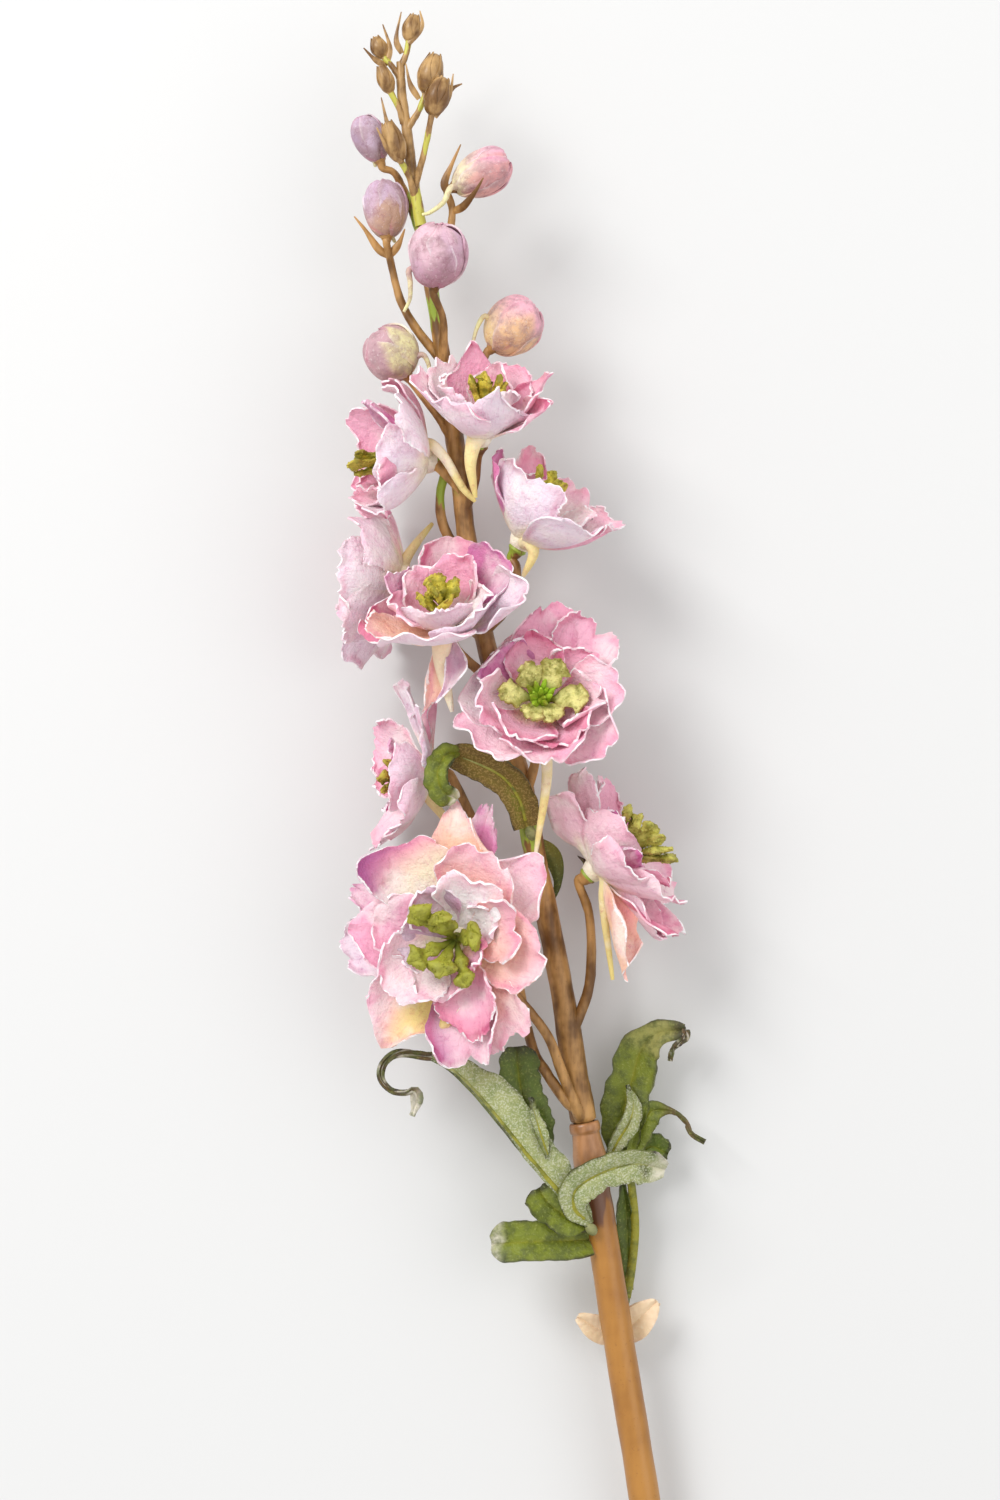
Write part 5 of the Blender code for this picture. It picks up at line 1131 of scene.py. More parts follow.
budWrap = {
    "petals": 5, "rows": 22, "columns": 18, "spreadDeg": 72, "thickness": 0.4, "lift": 0.3, "crease": 0.78,
    "dent": 0.07, "core": (0.44, 0.42), "spurEnd": paint(0.90, 0.88, 0.64), "spurSides": 8,
}


def budTone(bud, grid, u, v, lean):  # mottled mauve, blending to a second colour on one side of each bud
    tone = blendOf(bud["foot"], bud["crown"], ease(0.10, 0.70, u + 0.1 * np.sin(3 * v + lean)))
    warm, colour = bud["warm"]
    lit = unit(grid - bud["centre"]) @ unit(warm) + 0.25 * np.sin(6 * u + 5 * v + lean)
    return blendOf(tone, colour, 0.85 * ease(0.15, 0.75, lit))


def makeBud(key):
    bud = buds[key]
    draw = random.Random("bud " + key)
    out, up, right = flowerFrame(bud["face"])
    centre = np.array(bud["centre"])
    width, length = bud["size"]
    shell = Shell()
    rows, columns = budWrap["rows"], budWrap["columns"]
    share = ease(0.1, 0.7, np.linspace(0, 1, 13))  # a plain closed core under the wrapped petals
    tints = blendOf(bud["foot"], bud["crown"], share)
    halfLength, radius = out * length * budWrap["core"][0], width * budWrap["core"][1]
    addBall(shell, centre, halfLength, radius, tints, rows=13, sides=18, inset=0.02, taper=0.1)
    count = budWrap["petals"]
    for index in range(count):
        middle = 2 * math.pi * (index + draw.uniform(-0.2, 0.2)) / count
        u = np.linspace(0.04, 0.95 + draw.uniform(-0.05, 0.03), rows + 1)[:, None]
        v = np.linspace(-1, 1, columns + 1)[None, :]
        angle = np.pi * (u * (1 - 0.06 * v * v))
        twist = 0.9 * (u - 0.3) + 0.10 * np.sin(4 * u + index)
        spread = math.radians(budWrap["spreadDeg"]) * (0.5 + 0.5 * np.sin(np.pi * np.minimum(u * 1.1, 1.0)))
        turn = middle + twist + spread * v * (1 + 0.10 * ripple(draw, (1, 2.2, 4), rows + 1)[:, None])
        layer = 1.0 + 0.035 * (v + 1) + 0.015 * np.sin(6 * v + 5 * u + index)
        dents = budWrap["dent"] * np.sin(2.1 * turn + 3.1 * u + index) * np.sin(np.pi * u)
        folds = budWrap["crease"] * creases(draw, turn * width / 2, u * length, 5, 1.9) * np.sin(np.pi * u)
        edge = np.maximum(np.abs(v) ** 6, u ** 14)
        radius = width / 2 * np.sin(angle) ** 0.85 * (1 - 0.1 * np.cos(angle)) * 0.93 * (layer + dents)
        radius = radius + folds + edge * budWrap["lift"] * np.sin(7 * u + 2 * index + v)
        along = -np.cos(angle) * length / 2 * 0.96 * layer
        ring = up * np.cos(turn)[..., None] + right * np.sin(turn)[..., None]
        grid = centre + ring * radius[..., None] + out * along[..., None]
        rim = np.minimum((1 - np.abs(v)) * width * 0.5 * np.sin(angle), (1 - u) * length)
        tone = budTone(bud, grid, u, v, index)
        broken = 0.5 + 0.5 * np.sin(8 * u + 3 * index)
        tone = blendOf(tone, crimson, 0.40 * broken * np.exp(-((rim - 0.4) / 0.4) ** 2))
        tone = blendOf(tone, white, 0.5 * (1 - broken) * np.exp(-rim / 0.3))
        sheetMap = np.stack([v * width / 30 + 0 * u, u * length / 10 + 0 * v], -1)
        addSheet(shell, grid, budWrap["thickness"], tone, tone, (0, 0, 0), 0.0, sheetMap)
    front = np.array((0.0, 0.0, 1.0))
    side = unit(np.cross(out, front))
    path = [centre - out * length * 0.36 + side]
    path += [centre + side * across + out * along + front * forward for across, along, forward in bud["spur"]]
    path = smoothPath(path, 6)
    share = np.linspace(0, 1, len(path))
    tints = blendOf(bud["foot"], budWrap["spurEnd"], ease(0.1, 0.7, share))
    addRod(shell, path, 1.0 - 0.66 * share ** 0.6, budWrap["spurSides"], tints)
    seat(shell.piece("wrapped_bud_" + key, (budPaper,)), "bud", "bud_" + key)


# stems

sleeveFoot, sleeveHead = np.array((20.5, 40.0, 0.0)), np.array((18.4, 52.6, 0.0))
sleeveWay = unit(sleeveHead - sleeveFoot)
stalkSize = {
    "bloom": (1.3, 1.0), "bud": (1.1, 0.8), "budFlare": 1.5, "peg": 2.05, "shoulder": 2.85,
    "pegSteps": (-5.5, -0.2, 0.2),
}
axisSize = {"Sides": 18, "Unevenness": 0.00035, "Grain": 420.0, "Paint": axisPaint}
tipSize = {"Sides": 16, "Unevenness": 0.0004, "Grain": 700.0, "Paint": tipPaint}
# where the paint has missed and the green shows: place and size
bareSpots = [
    ((-18.9, 252.4, 0.0), 6.0), ((-14.8, 231.0, 0.0), 4.0), ((-16.3, 194.0, 0.0), 3.0),
    ((4.8, 178.5, 1.4), 3.0), ((-13.6, 192.6, 0.0), 4.5), ((6.2, 119.0, 0.0), 6.0),
]
bractBrown, bractDark = paint(0.50, 0.33, 0.18), paint(0.34, 0.20, 0.12)
# the axis's own bracts: midline, width, colours at the foot and the end, and which material
axisBracts = [
    ([(7.6, 114.0, -0.6), (11.6, 110.6, -3.0), (12.8, 105.0, -4.2), (11.1, 99.7, -4.4)],
     4.2, paint(0.45, 0.42, 0.10), paint(0.22, 0.27, 0.06), 0),
    ([(-14.4, 196.6, 2.2), (-13.0, 196.0, 3.0), (-10.6, 192.6, 3.4), (-9.0, 190.4, 3.2)],
     2.6, bractBrown, bractDark, 1),
    ([(20.3, 108.2, -1.5), (18.9, 109.5, -1.0), (17.1, 110.9, 0.5)],
     1.8, bractDark, paint(0.25, 0.2, 0.2), 0),
]


def evenRoute(points, radii, spans):
    path = smoothPath(points, spans)
    marks = np.linspace(0, len(points) - 1, len(path))
    return path, np.interp(marks, np.arange(len(points)), radii)


def flaredRoute(route, seatPoint, out, thin, flare):  # a stalk that ends in a calyx knob
    knob = [seatPoint - out * flare * back for back in (1.5, 0.75, 0.3, 0.0)]
    radii = [*np.linspace(*thin, len(route)), thin[1] * 1.05, flare * 0.72, flare, flare * 0.93]
    return evenRoute([*route, *knob], radii, 6)


def bareness(path):
    return np.max([np.exp(-(np.linalg.norm(path - np.array(spot), axis=1) / size) ** 2)
                   for spot, size in bareSpots], axis=0)


# a narrow pointed bract, folded along its middle
def addBract(shell, route, width, foot, end, mark=0, thickness=0.55):
    path = smoothPath(route, 6)
    u, v = sheetSpan(len(path) - 1, 6)
    half = width / 2 * (0.62 + 0.38 * np.sin(np.pi * np.minimum(u * 1.5, 1.0))) * (1 - 0.93 * u ** 2.2)
    height = 0.45 * half * (1 - np.abs(v)) + 0.05 * np.sin(9 * u)
    grid = sheetGrid(path, (0.0, 0.0, 1.0), half * v, height)
    tint = blendOf(foot, end, u)
    addSheet(shell, grid, thickness, tint, tint, (mark, mark, mark))


def makeSpikeAxis():
    peg = [sleeveHead + sleeveWay * step for step in stalkSize["pegSteps"]]
    path, radii = evenRoute([point[:3] for point in axisRoute], [point[3] for point in axisRoute], 10)
    marks = np.arange(len(radii))
    radii = radii * (1 + 0.05 * np.sin(marks * 0.55) * np.sin(marks * 0.13))
    path = np.vstack([peg, path[1:]])
    radii = [stalkSize["peg"], stalkSize["peg"], stalkSize["shoulder"], *radii[1:]]
    routes = [(path, radii, bareness(path))]
    for bloom in blooms.values():
        out = unit(bloom["face"])
        place = np.array(bloom["base"]) - out * (seatSize["back"] + 0.05)
        route, girth = flaredRoute(bloom["stalk"], place, out, stalkSize["bloom"], seatSize["calyx"])
        green = 0.8 * ease(0.78, 0.9, np.linspace(0, 1, len(route)))
        routes.append((route, girth, np.maximum(bareness(route), green)))
    for bud in buds.values():
        out = unit(bud["face"])
        place = np.array(bud["centre"]) - out * (bud["size"][1] / 2 - 0.4)
        route, girth = flaredRoute(bud["stalk"], place, out, stalkSize["bud"], stalkSize["budFlare"])
        routes.append((route, girth, bareness(route)))
    seat(grown("flower_axis", axisSize, routes), "stalk", "spike_axis")
    shell = Shell()
    for bud in buds.values():
        for route in bud.get("bracts", ()):
            addBract(shell, route, 1.7, bractBrown, bractDark, 1)
    for bract in axisBracts:
        addBract(shell, *bract)
    seat(shell.piece("axis_bracts", (leafGreen, axisPaint)), "stalk", "spike_axis")


# little closed buds: centre, width and length, the way they point, where the stalk leaves, and bracts
tipBuds = [
    ((-19.4, 293.0, 0.0), (3.8, 6.2), (0.25, 1.0, 0.0), (-21.9, 284.5, 0.0),
     [[(-21.6, 287.4, 0.2), (-22.8, 290.4, 0.6), (-21.7, 296.4, 0.6)],
      [(-20.0, 289.4, 0.6), (-17.2, 293.2, 0.8), (-17.6, 296.6, 0.8)]]),
    ((-26.6, 288.9, -0.6), (3.5, 5.0), (-0.4, 1.0, 0.0), (-21.8, 281.5, 0.0),
     [[(-25.0, 284.6, -0.4), (-27.6, 286.2, -0.2), (-30.0, 288.6, 0.0)],
      [(-24.8, 285.4, -0.4), (-24.3, 289.0, -0.2), (-25.8, 293.8, 0.0)]]),
    ((-25.1, 281.4, 2.0), (3.4, 6.4), (-0.35, 1.0, 0.2), (-21.2, 272.0, 0.2), []),
    ((-15.2, 282.7, 1.0), (5.3, 9.2), (0.25, 1.0, 0.0), (-20.2, 271.0, 0.2),
     [[(-17.8, 277.2, 0.8), (-19.7, 280.4, 1.0), (-20.7, 284.9, 1.2)]]),
    ((-13.6, 277.0, 5.2), (5.2, 8.6), (0.35, 1.0, 0.1), (-18.9, 257.5, 0.4),
     [[(-14.2, 272.4, 4.8), (-11.1, 277.0, 5.2), (-10.2, 281.8, 5.2)],
      [(-13.0, 275.6, 4.8), (-10.6, 278.6, 4.6), (-8.3, 279.8, 4.4)]]),
    ((-23.2, 267.2, 4.6), (4.5, 9.2), (-0.35, 1.0, 0.3), (-18.7, 256.0, 0.3),
     [[(-21.6, 262.6, 4.4), (-24.8, 266.0, 5.9), (-26.9, 269.9, 6.0)],
      [(-22.6, 264.4, 3.4), (-24.6, 271.0, 3.6), (-26.0, 277.0, 3.4)]]),
]
tipGold, tipBrown = paint(0.66, 0.49, 0.26), paint(0.42, 0.28, 0.14)
scalesRound = 5


def addScale(shell, route, width, away):  # a scale that hugs a little bud
    path = smoothPath(route, 4)
    u, v = sheetSpan(len(path) - 1, 4)
    half = width / 2 * (0.5 + 0.5 * np.sin(np.pi * np.minimum(u * 1.3, 1.0))) * (1 - 0.85 * u ** 3)
    grid = sheetGrid(path, away, half * v, 0 * u) - away * (0.30 * half * v * v)[..., None]
    tint = blendOf(tipGold, tipBrown, u)
    addSheet(shell, grid, 0.32, tint, tint, (0, 0, 0))


def makeSpikeTip():
    path, radii = evenRoute([point[:3] for point in tipRoute], [point[3] for point in tipRoute], 10)
    routes = [(path, radii, bareness(path))]
    shell = Shell()
    for centre, (width, length), face, leave, bracts in tipBuds:
        out, up, right = flowerFrame(face)
        foot = np.array(centre) - out * length / 2
        middle = (np.array(leave) + foot) / 2 + (0.4, 0.0, 0.4)
        stalk, girth = evenRoute([leave, middle, foot + out * 0.6], (0.85, 0.65, 0.7), 6)
        share = np.linspace(0, 1, len(stalk))
        routes.append((stalk, girth, 0.75 * ease(0.3, 0.7, share) * (1 - ease(0.8, 1.0, share))))
        turns = np.linspace(0, np.pi, 19)
        body = foot + out * (0.5 - 0.5 * np.cos(turns))[:, None] * length
        girth = width / 2 * np.maximum(np.sin(turns), 0.0) ** 0.8 * (1 + 0.10 * np.cos(turns)) + 0.02
        routes.append((body, girth, 0 * turns))
        for route in bracts:
            addBract(shell, route, 1.3, tipGold, tipBrown, thickness=0.5)
        for index in range(scalesRound):
            turn = 2 * math.pi * (index + 0.3) / scalesRound
            away = up * math.cos(turn) + right * math.sin(turn)
            radius = width / 2
            route = [foot + out * length * rise + away * reach for rise, reach in (
                (0.0, 0.3), (0.25, radius * 0.86), (0.55, radius * 1.06), (1.0, radius * 0.5),
            )]
            addScale(shell, route, radius * 1.1, away)
    seat(grown("tip_stems", tipSize, routes), "tip", "spike_tip")
    seat(shell.piece("tip_scales", (tipPaint,)), "tip", "spike_tip")


lowerRoute = [
    (19.6, 44.0, 0.0), (22.0, 30.8, 0.0), (26.8, 0.0, 0.0), (32.0, -32.0, 0.0),
    (37.2, -70.0, 0.0), (42.3, -112.0, 0.0), (47.6, -160.0, 0.0),
]
# darkBelow, darkness and darkSpread place the dark stretch below the sleeve: a painted shadow of a leaf with
# a darker brown
lowerSize = {
    "radius": 3.4, "bore": 1.4, "peg": 2.05, "shoulder": 3.1, "endRadius": 3.15, "sides": 36,
    "pegSteps": (5.0, 0.1, -0.05), "darkBelow": 2.5, "darkness": 0.95, "darkSpread": 45.0,
}
sleeveSize = {"bore": 2.4, "sides": 40, "gap": 0.3}


# a hollow turned body: a closed loop of radii along a path, outside up and inside back
def turnedShell(shell, path, radii, sides, tint):
    ahead = np.gradient(path[:len(path) // 2], axis=0)
    ahead = np.vstack([ahead, ahead[::-1]])
    front = np.array((0.0, 0.0, 1.0))
    points = [ringAt(*ring, sides)[0] for ring in zip(path, ahead, [front] * len(path), radii)]
    faces = ringFaces(len(path), len(path), sides)
    shell.add(np.vstack(points), faces, [0] * len(faces), tint)


def makeLowerStem():
    path = smoothPath(lowerRoute, 14)
    path = path[(path - sleeveFoot) @ sleeveWay < -0.8]
    outer = np.vstack([*(sleeveFoot + sleeveWay * step for step in lowerSize["pegSteps"]), path])
    marks = np.arange(len(outer))
    radii = lowerSize["radius"] * (1 + 0.018 * np.sin(marks * 0.9) * np.sin(marks * 0.23))
    radii[:3] = (lowerSize["peg"], lowerSize["peg"], lowerSize["shoulder"])
    radii[-1] = lowerSize["endRadius"]
    radii = np.concatenate([radii, np.full(len(outer), lowerSize["bore"])])
    shell = Shell()
    turnedShell(shell, np.vstack([outer, outer[::-1]]), radii, lowerSize["sides"], (0.5, 0.3, 0.1))
    item = shell.piece("lower_stem", (lowerPaint,), 40)
    # painted shadow of a leaf over the stem, with a darker brown, just below the sleeve
    away = outer - (sleeveFoot - sleeveWay * lowerSize["darkBelow"])
    dark = lowerSize["darkness"] * np.exp(-(away ** 2).sum(axis=1) / lowerSize["darkSpread"])
    addValues(item.data, "bareAndPaintedLight", np.repeat(np.concatenate([dark, dark[::-1]]), lowerSize["sides"]))
    seat(item, "lower_paint", "stem_lower")


def makeSleeve():
    length = float(np.linalg.norm(sleeveHead - sleeveFoot)) - sleeveSize["gap"]
    swollen = [
        (3.15, 0.0), (3.35, 0.25), (3.62, length * 0.10), (3.74, length * 0.2), (3.78, length * 0.32),
        (3.66, length * 0.44), (3.42, length * 0.55), (3.22, length * 0.66),
    ]
    collar = [
        (3.06, length - 2.7), (3.04, length - 2.35), (3.34, length - 2.1), (3.42, length - 1.5),
        (3.42, length - 0.8), (3.3, length - 0.3), (3.12, length),
    ]
    radii, heights = np.array(swollen + collar).T
    path = sleeveFoot + np.outer(heights, sleeveWay)
    radii = np.concatenate([radii[::-1], np.full(len(path), sleeveSize["bore"])])
    shell = Shell()
    turnedShell(shell, np.vstack([path[::-1], path]), radii, sleeveSize["sides"], (0.4, 0.25, 0.18))
    seat(shell.piece("push_fit_sleeve", (sleevePaint,), 60), "stalk", "stem_sleeve")


# leaves

leafTop, leafMid = paint(0.44, 0.48, 0.08), paint(0.56, 0.54, 0.12)
leafEdge, leafPale = paint(0.13, 0.10, 0.08), paint(0.60, 0.62, 0.41)
leafBrown, leafOlive, leafDeep = paint(0.36, 0.27, 0.13), paint(0.43, 0.36, 0.12), paint(0.31, 0.38, 0.05)
leafTorn, leafGold = paint(0.86, 0.83, 0.76), paint(0.62, 0.60, 0.34)
huskTint, huskEdge = paint(0.93, 0.83, 0.70), paint(0.80, 0.62, 0.52)

# a lobe is (midline, half widths left and right, the way its face looks, front colour, back colour,
# flocked front, form)
leaves = {
    "leaf_upper": dict(
        lobes=[
            ([(5.9, 117.4, 3.8), (4.2, 123.4, 5.0), (0.4, 128.4, 5.6), (-6.5, 131.9, 7.0),
              (-11.3, 133.4, 8.8)],
             (3.5, 3.6), (0.2, -0.3, 1.0), leafOlive, leafPale, True, "blunt band"),
            ([(-8.6, 133.8, 8.2), (-11.6, 133.2, 11.4), (-13.5, 129.2, 14.2), (-12.4, 125.3, 13.8),
              (-9.4, 123.5, 12.2)],
             (2.4, 2.8), (-0.3, -0.1, 1.0), leafTop, leafDeep, False, "torn"),
        ],
        knob=(6.8, 116.0, 4.4),
    ),
    "leaf_front": dict(
        lobes=[
            ([(19.2, 30.8, 5.6), (13.5, 37.1, 7.6), (6.3, 45.6, 8.8), (0.0, 53.5, 8.2), (-5.6, 59.9, 6.4),
              (-11.3, 65.0, 5.0), (-17.6, 68.0, 4.8)],
             (0.9, 7.0), (0.5, 0.1, 0.9), leafPale, leafTop, True, "ridged"),
            ([(-15.0, 67.0, 4.9), (-21.8, 68.0, 5.0), (-25.3, 65.8, 5.8), (-25.9, 62.8, 7.2),
              (-23.9, 60.3, 8.4), (-20.8, 59.7, 9.0), (-18.6, 60.4, 9.3), (-18.0, 58.4, 9.4),
              (-19.1, 54.7, 9.0)],
             (1.0, 1.1), (0.1, -0.1, 1.0), leafBrown, leafEdge, False, "curl"),
            ([(10.2, 44.0, 5.0), (8.0, 50.0, 4.6), (5.6, 56.0, 4.0), (4.2, 62.0, 3.2), (3.5, 69.2, 2.8)],
             (4.6, 4.7), (0.2, 0.2, 1.0), leafDeep, leafPale, False, "blunt"),
            ([(10.4, 45.5, 8.4), (8.8, 50.8, 8.4), (7.6, 54.8, 8.0), (6.6, 58.6, 7.2)],
             (1.3, 1.5), (0.5, 0.3, 1.0), leafPale, leafTop, True, "leaf"),
            ([(19.6, 30.8, 5.6), (16.3, 34.5, 7.2), (16.5, 38.6, 8.4), (21.7, 42.2, 9.0),
              (29.4, 44.2, 8.0), (36.0, 42.6, 6.0)],
             (3.9, 3.9), (0.0, -0.3, 1.0), leafPale, leafTop, True, "torn"),
            ([(19.5, 26.8, 1.6), (15.0, 26.9, 4.2), (5.7, 26.9, 6.2), (-1.9, 26.2, 5.0)],
             (4.3, 4.5), (0.0, 0.3, 1.0), leafTop, leafPale, False, "torn band"),
            ([(19.0, 30.0, 4.2), (14.4, 32.5, 6.0), (10.6, 35.4, 6.0), (8.4, 38.6, 5.2)],
             (4.4, 3.8), (0.2, 0.2, 1.0), leafTop, leafPale, False, "blunt"),
        ],
        knob=(19.9, 29.6, 5.1),
    ),
    "leaf_back": dict(
        lobes=[
            ([(27.6, 40.0, -5.2), (27.1, 47.0, -6.0), (27.6, 54.4, -6.8), (29.3, 60.8, -7.4),
              (31.3, 67.5, -7.2), (35.0, 71.4, -5.6), (41.0, 72.4, -3.4)],
             (5.1, 5.2), (-0.2, 0.1, 1.0), leafTop, leafPale, False, "fold"),
            ([(41.2, 72.4, -3.4), (40.9, 70.6, -2.6), (38.5, 68.6, -2.6), (37.6, 65.4, -3.4)],
             (0.8, 0.9), (0.2, -0.2, 1.0), leafBrown, leafEdge, False, "hook"),
            ([(23.8, 43.0, -5.0), (25.9, 47.4, -3.6), (28.6, 52.0, -3.2), (29.5, 56.0, -3.8),
              (28.2, 60.0, -5.0)],
             (2.0, 2.3), (0.1, 0.1, 1.0), leafPale, leafTop, True, "leaf"),
            ([(28.6, 42.0, -5.4), (32.4, 53.0, -5.0), (37.2, 54.4, -4.8), (40.7, 52.4, -3.8),
              (42.4, 49.4, -2.6), (45.2, 47.7, -2.0)],
             (3.0, 3.2), (0.1, 0.1, 1.0), leafTop, leafPale, False, "tail"),
            ([(28.8, 40.0, -5.2), (32.8, 46.0, -6.0), (37.3, 44.6, -5.6)],
             (2.9, 2.9), (0.1, 0.1, 1.0), leafDeep, leafPale, False, "blunt"),
            ([(29.0, 14.5, -5.2), (28.4, 23.4, -5.0), (28.0, 32.2, -5.2), (27.2, 39.7, -5.4)],
             (2.6, 1.4), (0.0, 0.0, 1.0), leafDeep, leafPale, False, "leaf"),
        ],
        stalk=[(27.8, 13.0, -4.6), (29.0, 19.0, -5.2), (29.9, 28.9, -5.2), (28.8, 41.0, -5.2)],
        knob=(27.6, 12.6, -4.8),
    ),
    "base_bract": dict(
        lobes=[
            ([(26.4, 4.6, -4.6), (22.4, 5.8, -4.2), (17.2, 9.0, -2.4)], (3.0, 3.2), (-0.3, 0.3, 1.0),
             huskTint, huskTint, False, "husk"),
            ([(26.0, 4.0, -4.6), (30.2, 7.8, -4.2), (34.6, 12.4, -2.4)], (3.9, 3.7), (0.3, 0.3, 1.0),
             huskTint, huskTint, False, "husk"),
        ],
        knob=(26.2, 3.0, -5.0),
    ),
}
leafSheet = {
    "rows": 36, "columns": 16, "thickness": 0.6, "teeth": 0.13, "fold": 0.22, "quilting": 0.26,
    "narrowest": 0.35, "knob": (1.7, 1.25), "stalk": (1.2, 0.9), "stalkSides": 14,
    "midrib": 0.5, "wideMidrib": 0.8, "midribRise": 0.15, "midribSides": 10,
}
# how much of its teeth a lobe has, where it is not all of them
toothing = {"curl": 0, "husk": 0, "hook": 0, "torn band": 0.35, "blunt band": 0.6}


def lobeShape(form, u):  # how wide a lobe is along its length, 1 at its widest
    arch = np.maximum(np.sin(np.pi * np.minimum(u * 1.02, 1.0)), 0.0) ** 0.7
    leafy = (0.16 + 0.84 * arch) * (1 - 0.55 * u ** 6)
    if form in ("blunt", "torn", "torn band", "blunt band", "fold"):
        opening = 0.22 + 0.78 * np.sin(np.pi / 2 * np.minimum(u / 0.4, 1.0))
        if form.endswith("band"):
            opening = 0.84 + 0.16 * np.sin(np.pi * np.minimum(u * 2, 0.5))
        if form == "fold":
            opening = opening * (1 - 0.5 * ease(0.62, 0.9, u))
        return opening * np.sqrt(np.maximum(1 - (np.maximum(u - 0.84, 0) / 0.175) ** 2, 0.03))
    if form == "tail":
        narrowed = ease(0.42, 0.66, u)
        return leafy * (1 - narrowed) + 0.2 * narrowed * (1.1 - u)
    if form == "hook":
        return 1 - 0.6 * u
    if form == "curl":
        return 0.75 - 0.35 * ease(0.3, 0.7, u) + 0.9 * np.exp(-((u - 0.86) / 0.07) ** 2)
    if form == "husk":
        return 0.2 + 0.8 * np.maximum(np.sin(np.pi * u ** 0.75), 0.0) ** 0.7
    return leafy


def lobeTone(form, base, u, v, rim, teeth):
    patchy = 0.5 + 0.5 * np.sin(14 * u + 5 * v + 3 * teeth)
    if form == "husk":
        return blendOf(base, huskEdge, 0.5 * np.exp(-rim / 0.5) * patchy)
    if form in ("curl", "hook"):
        tone = blendOf(base, leafEdge, 0.75 * patchy)
        flakes = 0.8 * ease(0.78, 0.9, u) * (form == "curl") + 0.5 * (np.sin(23 * u + 4 * v) > 0.75)
        return blendOf(tone, leafTorn, np.clip(flakes, 0, 1))
    rib = np.exp(-(v / 0.10) ** 2) * (1 - 0.6 * u)
    sideRibs = np.exp(-((np.abs(np.sin(np.pi * (u * 7 - np.abs(v) * 1.2)))) / 0.16) ** 2) * 0.4
    tone = blendOf(base, leafMid, np.clip(rib * 0.8 + sideRibs * 0.4, 0, 1))
    if form == "blunt band":
        stain = 0.5 + 0.5 * np.sin(9 * u + 4 * v + 2 * np.sin(7 * v))
        tone = blendOf(tone, leafBrown, 0.7 * stain * ease(-0.3, 0.5, np.abs(v)))
        tone = blendOf(tone, leafTop, 0.8 * np.exp(-((u - 0.25) / 0.2) ** 2 - ((v + 0.3) / 0.35) ** 2))
    if form == "fold":
        tone = blendOf(tone, leafGold, 0.85 * ease(0.62, 0.82, u + 0.05 * teeth))
    tone = blendOf(tone, leafEdge, np.exp(-rim / 0.32) * 0.85 * (0.35 + 0.65 * patchy))
    if form in ("torn", "torn band"):
        tone = blendOf(tone, leafEdge, 0.8 * np.exp(-((u + 0.04 * teeth - 0.86) / 0.035) ** 2) * patchy)
        return blendOf(tone, leafTorn, 0.9 * ease(0.88, 0.93, u + 0.05 * teeth) * (0.4 + 0.6 * patchy))
    if form == "tail":
        tone = blendOf(tone, leafBrown, ease(0.50, 0.66, u))
    return blendOf(tone, leafEdge, 0.85 * ease(0.88, 1.0, u + 0.04 * teeth))


def addLobe(shell, index, lobe, draw):
    midline, halves, face, frontTint, backTint, flocked, form = lobe
    rows, columns = leafSheet["rows"], leafSheet["columns"]
    path = smoothPath(midline, 12)
    marks = np.concatenate([[0], np.cumsum(np.linalg.norm(np.diff(path, axis=0), axis=1))])
    total = marks[-1]
    path = sampled(path, marks, np.linspace(0, total, rows + 1))
    u, v = sheetSpan(rows, columns)
    left, right = ripple(draw, (1.5, 4, 8), rows + 1), ripple(draw, (2, 5, 9), rows + 1)
    teeth = np.where(v > 0, right[:, None], left[:, None])
    notched = teeth * toothing.get(form, 1)
    half = np.where(v > 0, halves[1], halves[0]) * lobeShape(form, u)
    half = half * (1 + notched * leafSheet["teeth"] * np.minimum(u * 4, 1))
    half = np.maximum(half, leafSheet["narrowest"])
    ribs = np.abs(np.sin(np.pi * (u * 7 - np.abs(v) * 1.2)))
    height = leafSheet["fold"] * half * np.abs(v) ** 1.3 - 0.35 * np.exp(-(v * half / 0.6) ** 2)
    height += leafSheet["quilting"] * ribs * np.abs(v) * (1 - np.abs(v)) * 2
    height += (0.35 * np.sin(8 * u + 3 * v + index) + 0.4 * notched) * v * v
    grid = sheetGrid(path, face, half * v, height)
    rim = np.minimum((1 - np.abs(v)) * half, (1 - u) * total)
    folds = creases(draw, half * v, u * total, 5, 1.8) * (0.35 if max(halves) > 1.3 else 0.1)
    grid = grid + gridNormals(grid) * folds[..., None]
    faceTint, backPaint = (lobeTone(form, tint, u, v, rim, teeth) for tint in (frontTint, backTint))
    marks = (1, 0, 0) if flocked else (0, 1, 0)
    if form in ("curl", "husk", "hook") or backTint is leafBrown or backTint is leafDeep:
        marks = (0, 0, 0)
    sheetMap = np.stack([half * v / 10, u * total / 10], -1)
    addSheet(shell, grid, leafSheet["thickness"], faceTint, backPaint, marks, 0.0, sheetMap)
    if flocked:  # a raised midrib on the pale underside
        rib = path[2:-5] + gridNormals(grid)[2:-5, columns // 2] * leafSheet["midribRise"]
        share = np.linspace(0, 1, len(rib))
        tints = blendOf(leafMid, leafPale, 0.7 * ease(0.5, 1.0, share))
        radius = leafSheet["wideMidrib" if form == "ridged" else "midrib"]
        addRod(shell, rib, radius * (1 - 0.5 * share), leafSheet["midribSides"], tints)


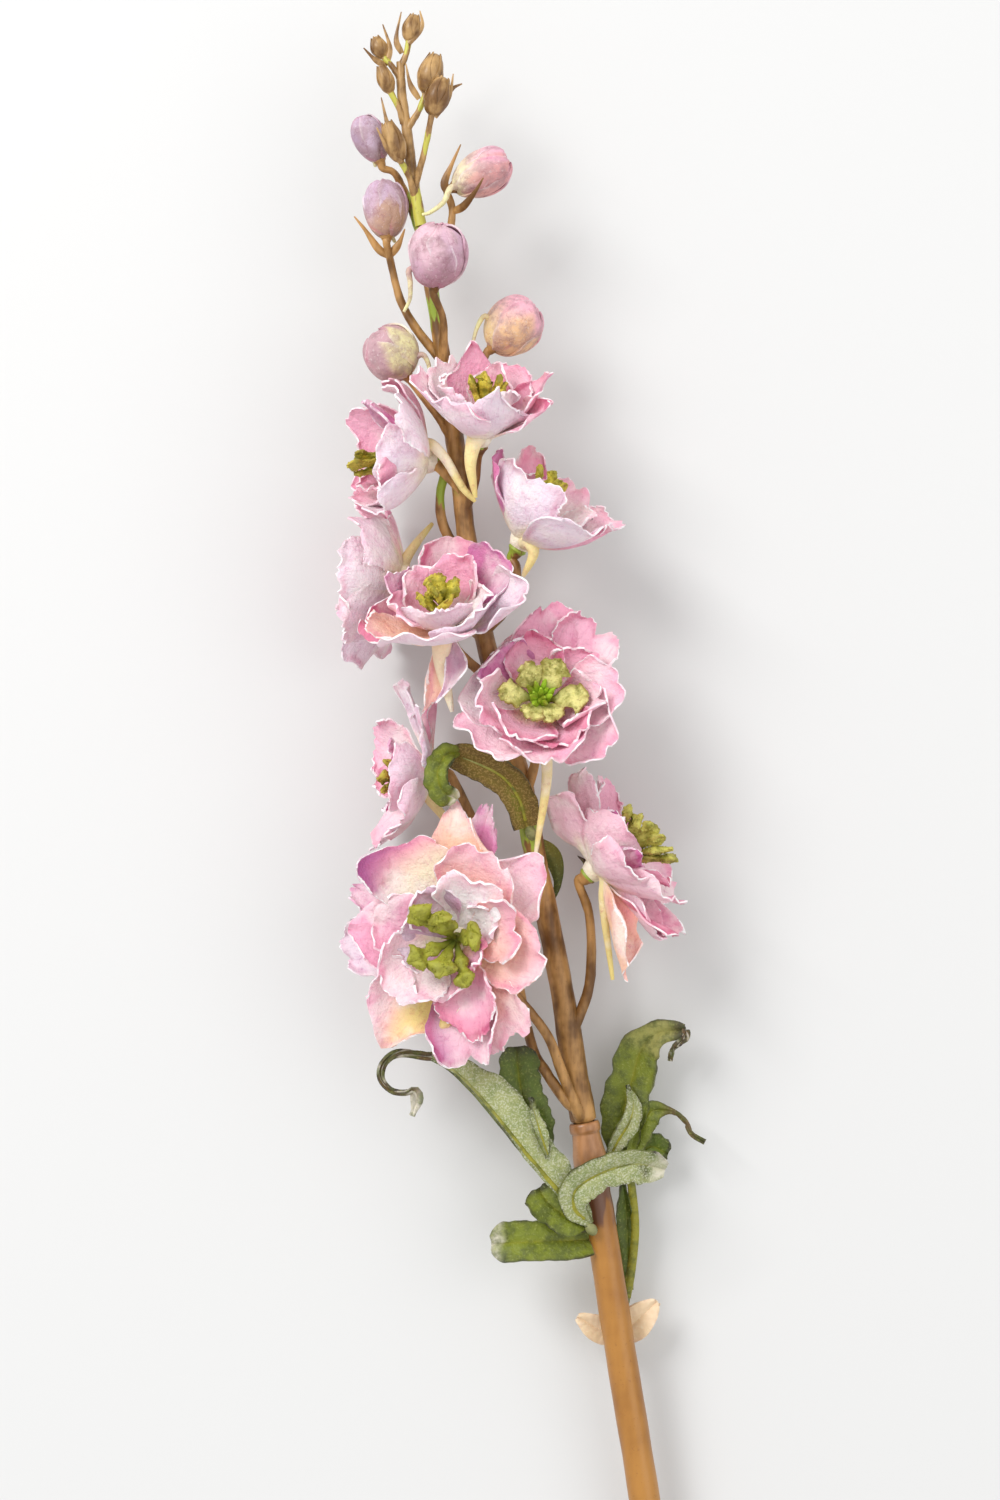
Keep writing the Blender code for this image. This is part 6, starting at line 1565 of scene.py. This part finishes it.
def makeLeaf(name):
    leaf = leaves[name]
    draw = random.Random("leaf " + name)
    shell = Shell()
    husk = name == "base_bract"
    for index, lobe in enumerate(leaf["lobes"]):
        addLobe(shell, index, lobe, draw)
    knob = np.array(leaf["knob"])
    lift = unit(np.array(leaf["lobes"][0][0][1]) - knob)
    halfLength, radius = leafSheet["knob"]
    knobTint = huskTint if husk else blendOf(leafPale, leafBrown, 0.35)
    addBall(shell, knob, lift * halfLength, radius, knobTint)
    if "stalk" in leaf:
        path, radii = evenRoute(leaf["stalk"], np.linspace(*leafSheet["stalk"], len(leaf["stalk"])), 8)
        addRod(shell, path, radii, leafSheet["stalkSides"], leafMid)
    materials = (bractPaper,) if husk else (leafGreen, brownFlock if name == "leaf_upper" else leafFlock)
    seat(shell.piece(name + "_blades", materials), "bract" if husk else "leaf", name)


for key in blooms:
    makeBloom(key)
print("petals ready")
for key in blooms:
    makeStamens(key)
for key in buds:
    makeBud(key)
print("buds and stamens ready")
makeSpikeAxis()
makeSpikeTip()
makeLowerStem()
makeSleeve()
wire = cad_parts["stem_wire"]
wire.data.materials.clear()
wire.data.materials.append(drawnWire)
for name in leaves:
    makeLeaf(name)
print("stems and leaves ready")


# floor, light, camera

studio = {
    "floorSize": 6.0, "floor": (0.67, 0.67, 0.665), "world": 0.80, "lookedAt": (0.0, 0.06, 0.0),
    "viewCentre": (0.0, 134.2), "cameraDistance": 700.0, "halfHeight": 165.0, "farthest": 20.0,
}
lights = (  # name, place, size and power
    ("keyLight", (-0.8, 0.8, 1.1), 0.7, 16.0), ("fillLight", (0.9, 0.1, 1.2), 1.2, 5.0),
)


def makeStudio():
    mesh = bpy.data.meshes.new("floor")
    half = studio["floorSize"] / 2
    corners = [(-half, -half, 0), (half, -half, 0), (half, half, 0), (-half, half, 0)]
    mesh.from_pydata(corners, [], [(0, 1, 2, 3)])
    floor = newObject("floor", mesh)
    material, tree, shader = newMaterial("paleFloor")
    fill(tree, shader, {"Base Color": (*studio["floor"], 1.0), "Roughness": 0.9})
    mesh.materials.append(material)
    world = bpy.data.worlds.new("studio")
    bpy.context.scene.world = world
    world.use_nodes = True
    back = world.node_tree.nodes["Background"]
    fill(world.node_tree, back, {"Color": (1.0, 1.0, 1.0, 1.0), "Strength": studio["world"]})
    for name, place, size, power in lights:
        light = bpy.data.lights.new(name, "AREA")
        light.size = size
        light.energy = power
        item = newObject(name, light)
        item.location = place
        ray = Vector(studio["lookedAt"]) - Vector(place)
        item.rotation_euler = ray.to_track_quat("-Z", "Y").to_euler()
    lens = bpy.data.cameras.new("camera")
    lens.sensor_fit = "VERTICAL"
    lens.angle = 2 * math.atan(studio["halfHeight"] / studio["cameraDistance"])
    lens.clip_end = studio["farthest"]
    camera = newObject("camera", lens)
    place = laid((*studio["viewCentre"], studio["cameraDistance"]))
    camera.matrix_world = Matrix.Translation(Vector(place)) @ layTurn.to_4x4()
    bpy.context.scene.camera = camera
    bpy.context.scene.view_settings.view_transform = "Standard"


makeStudio()
print("scene ready")
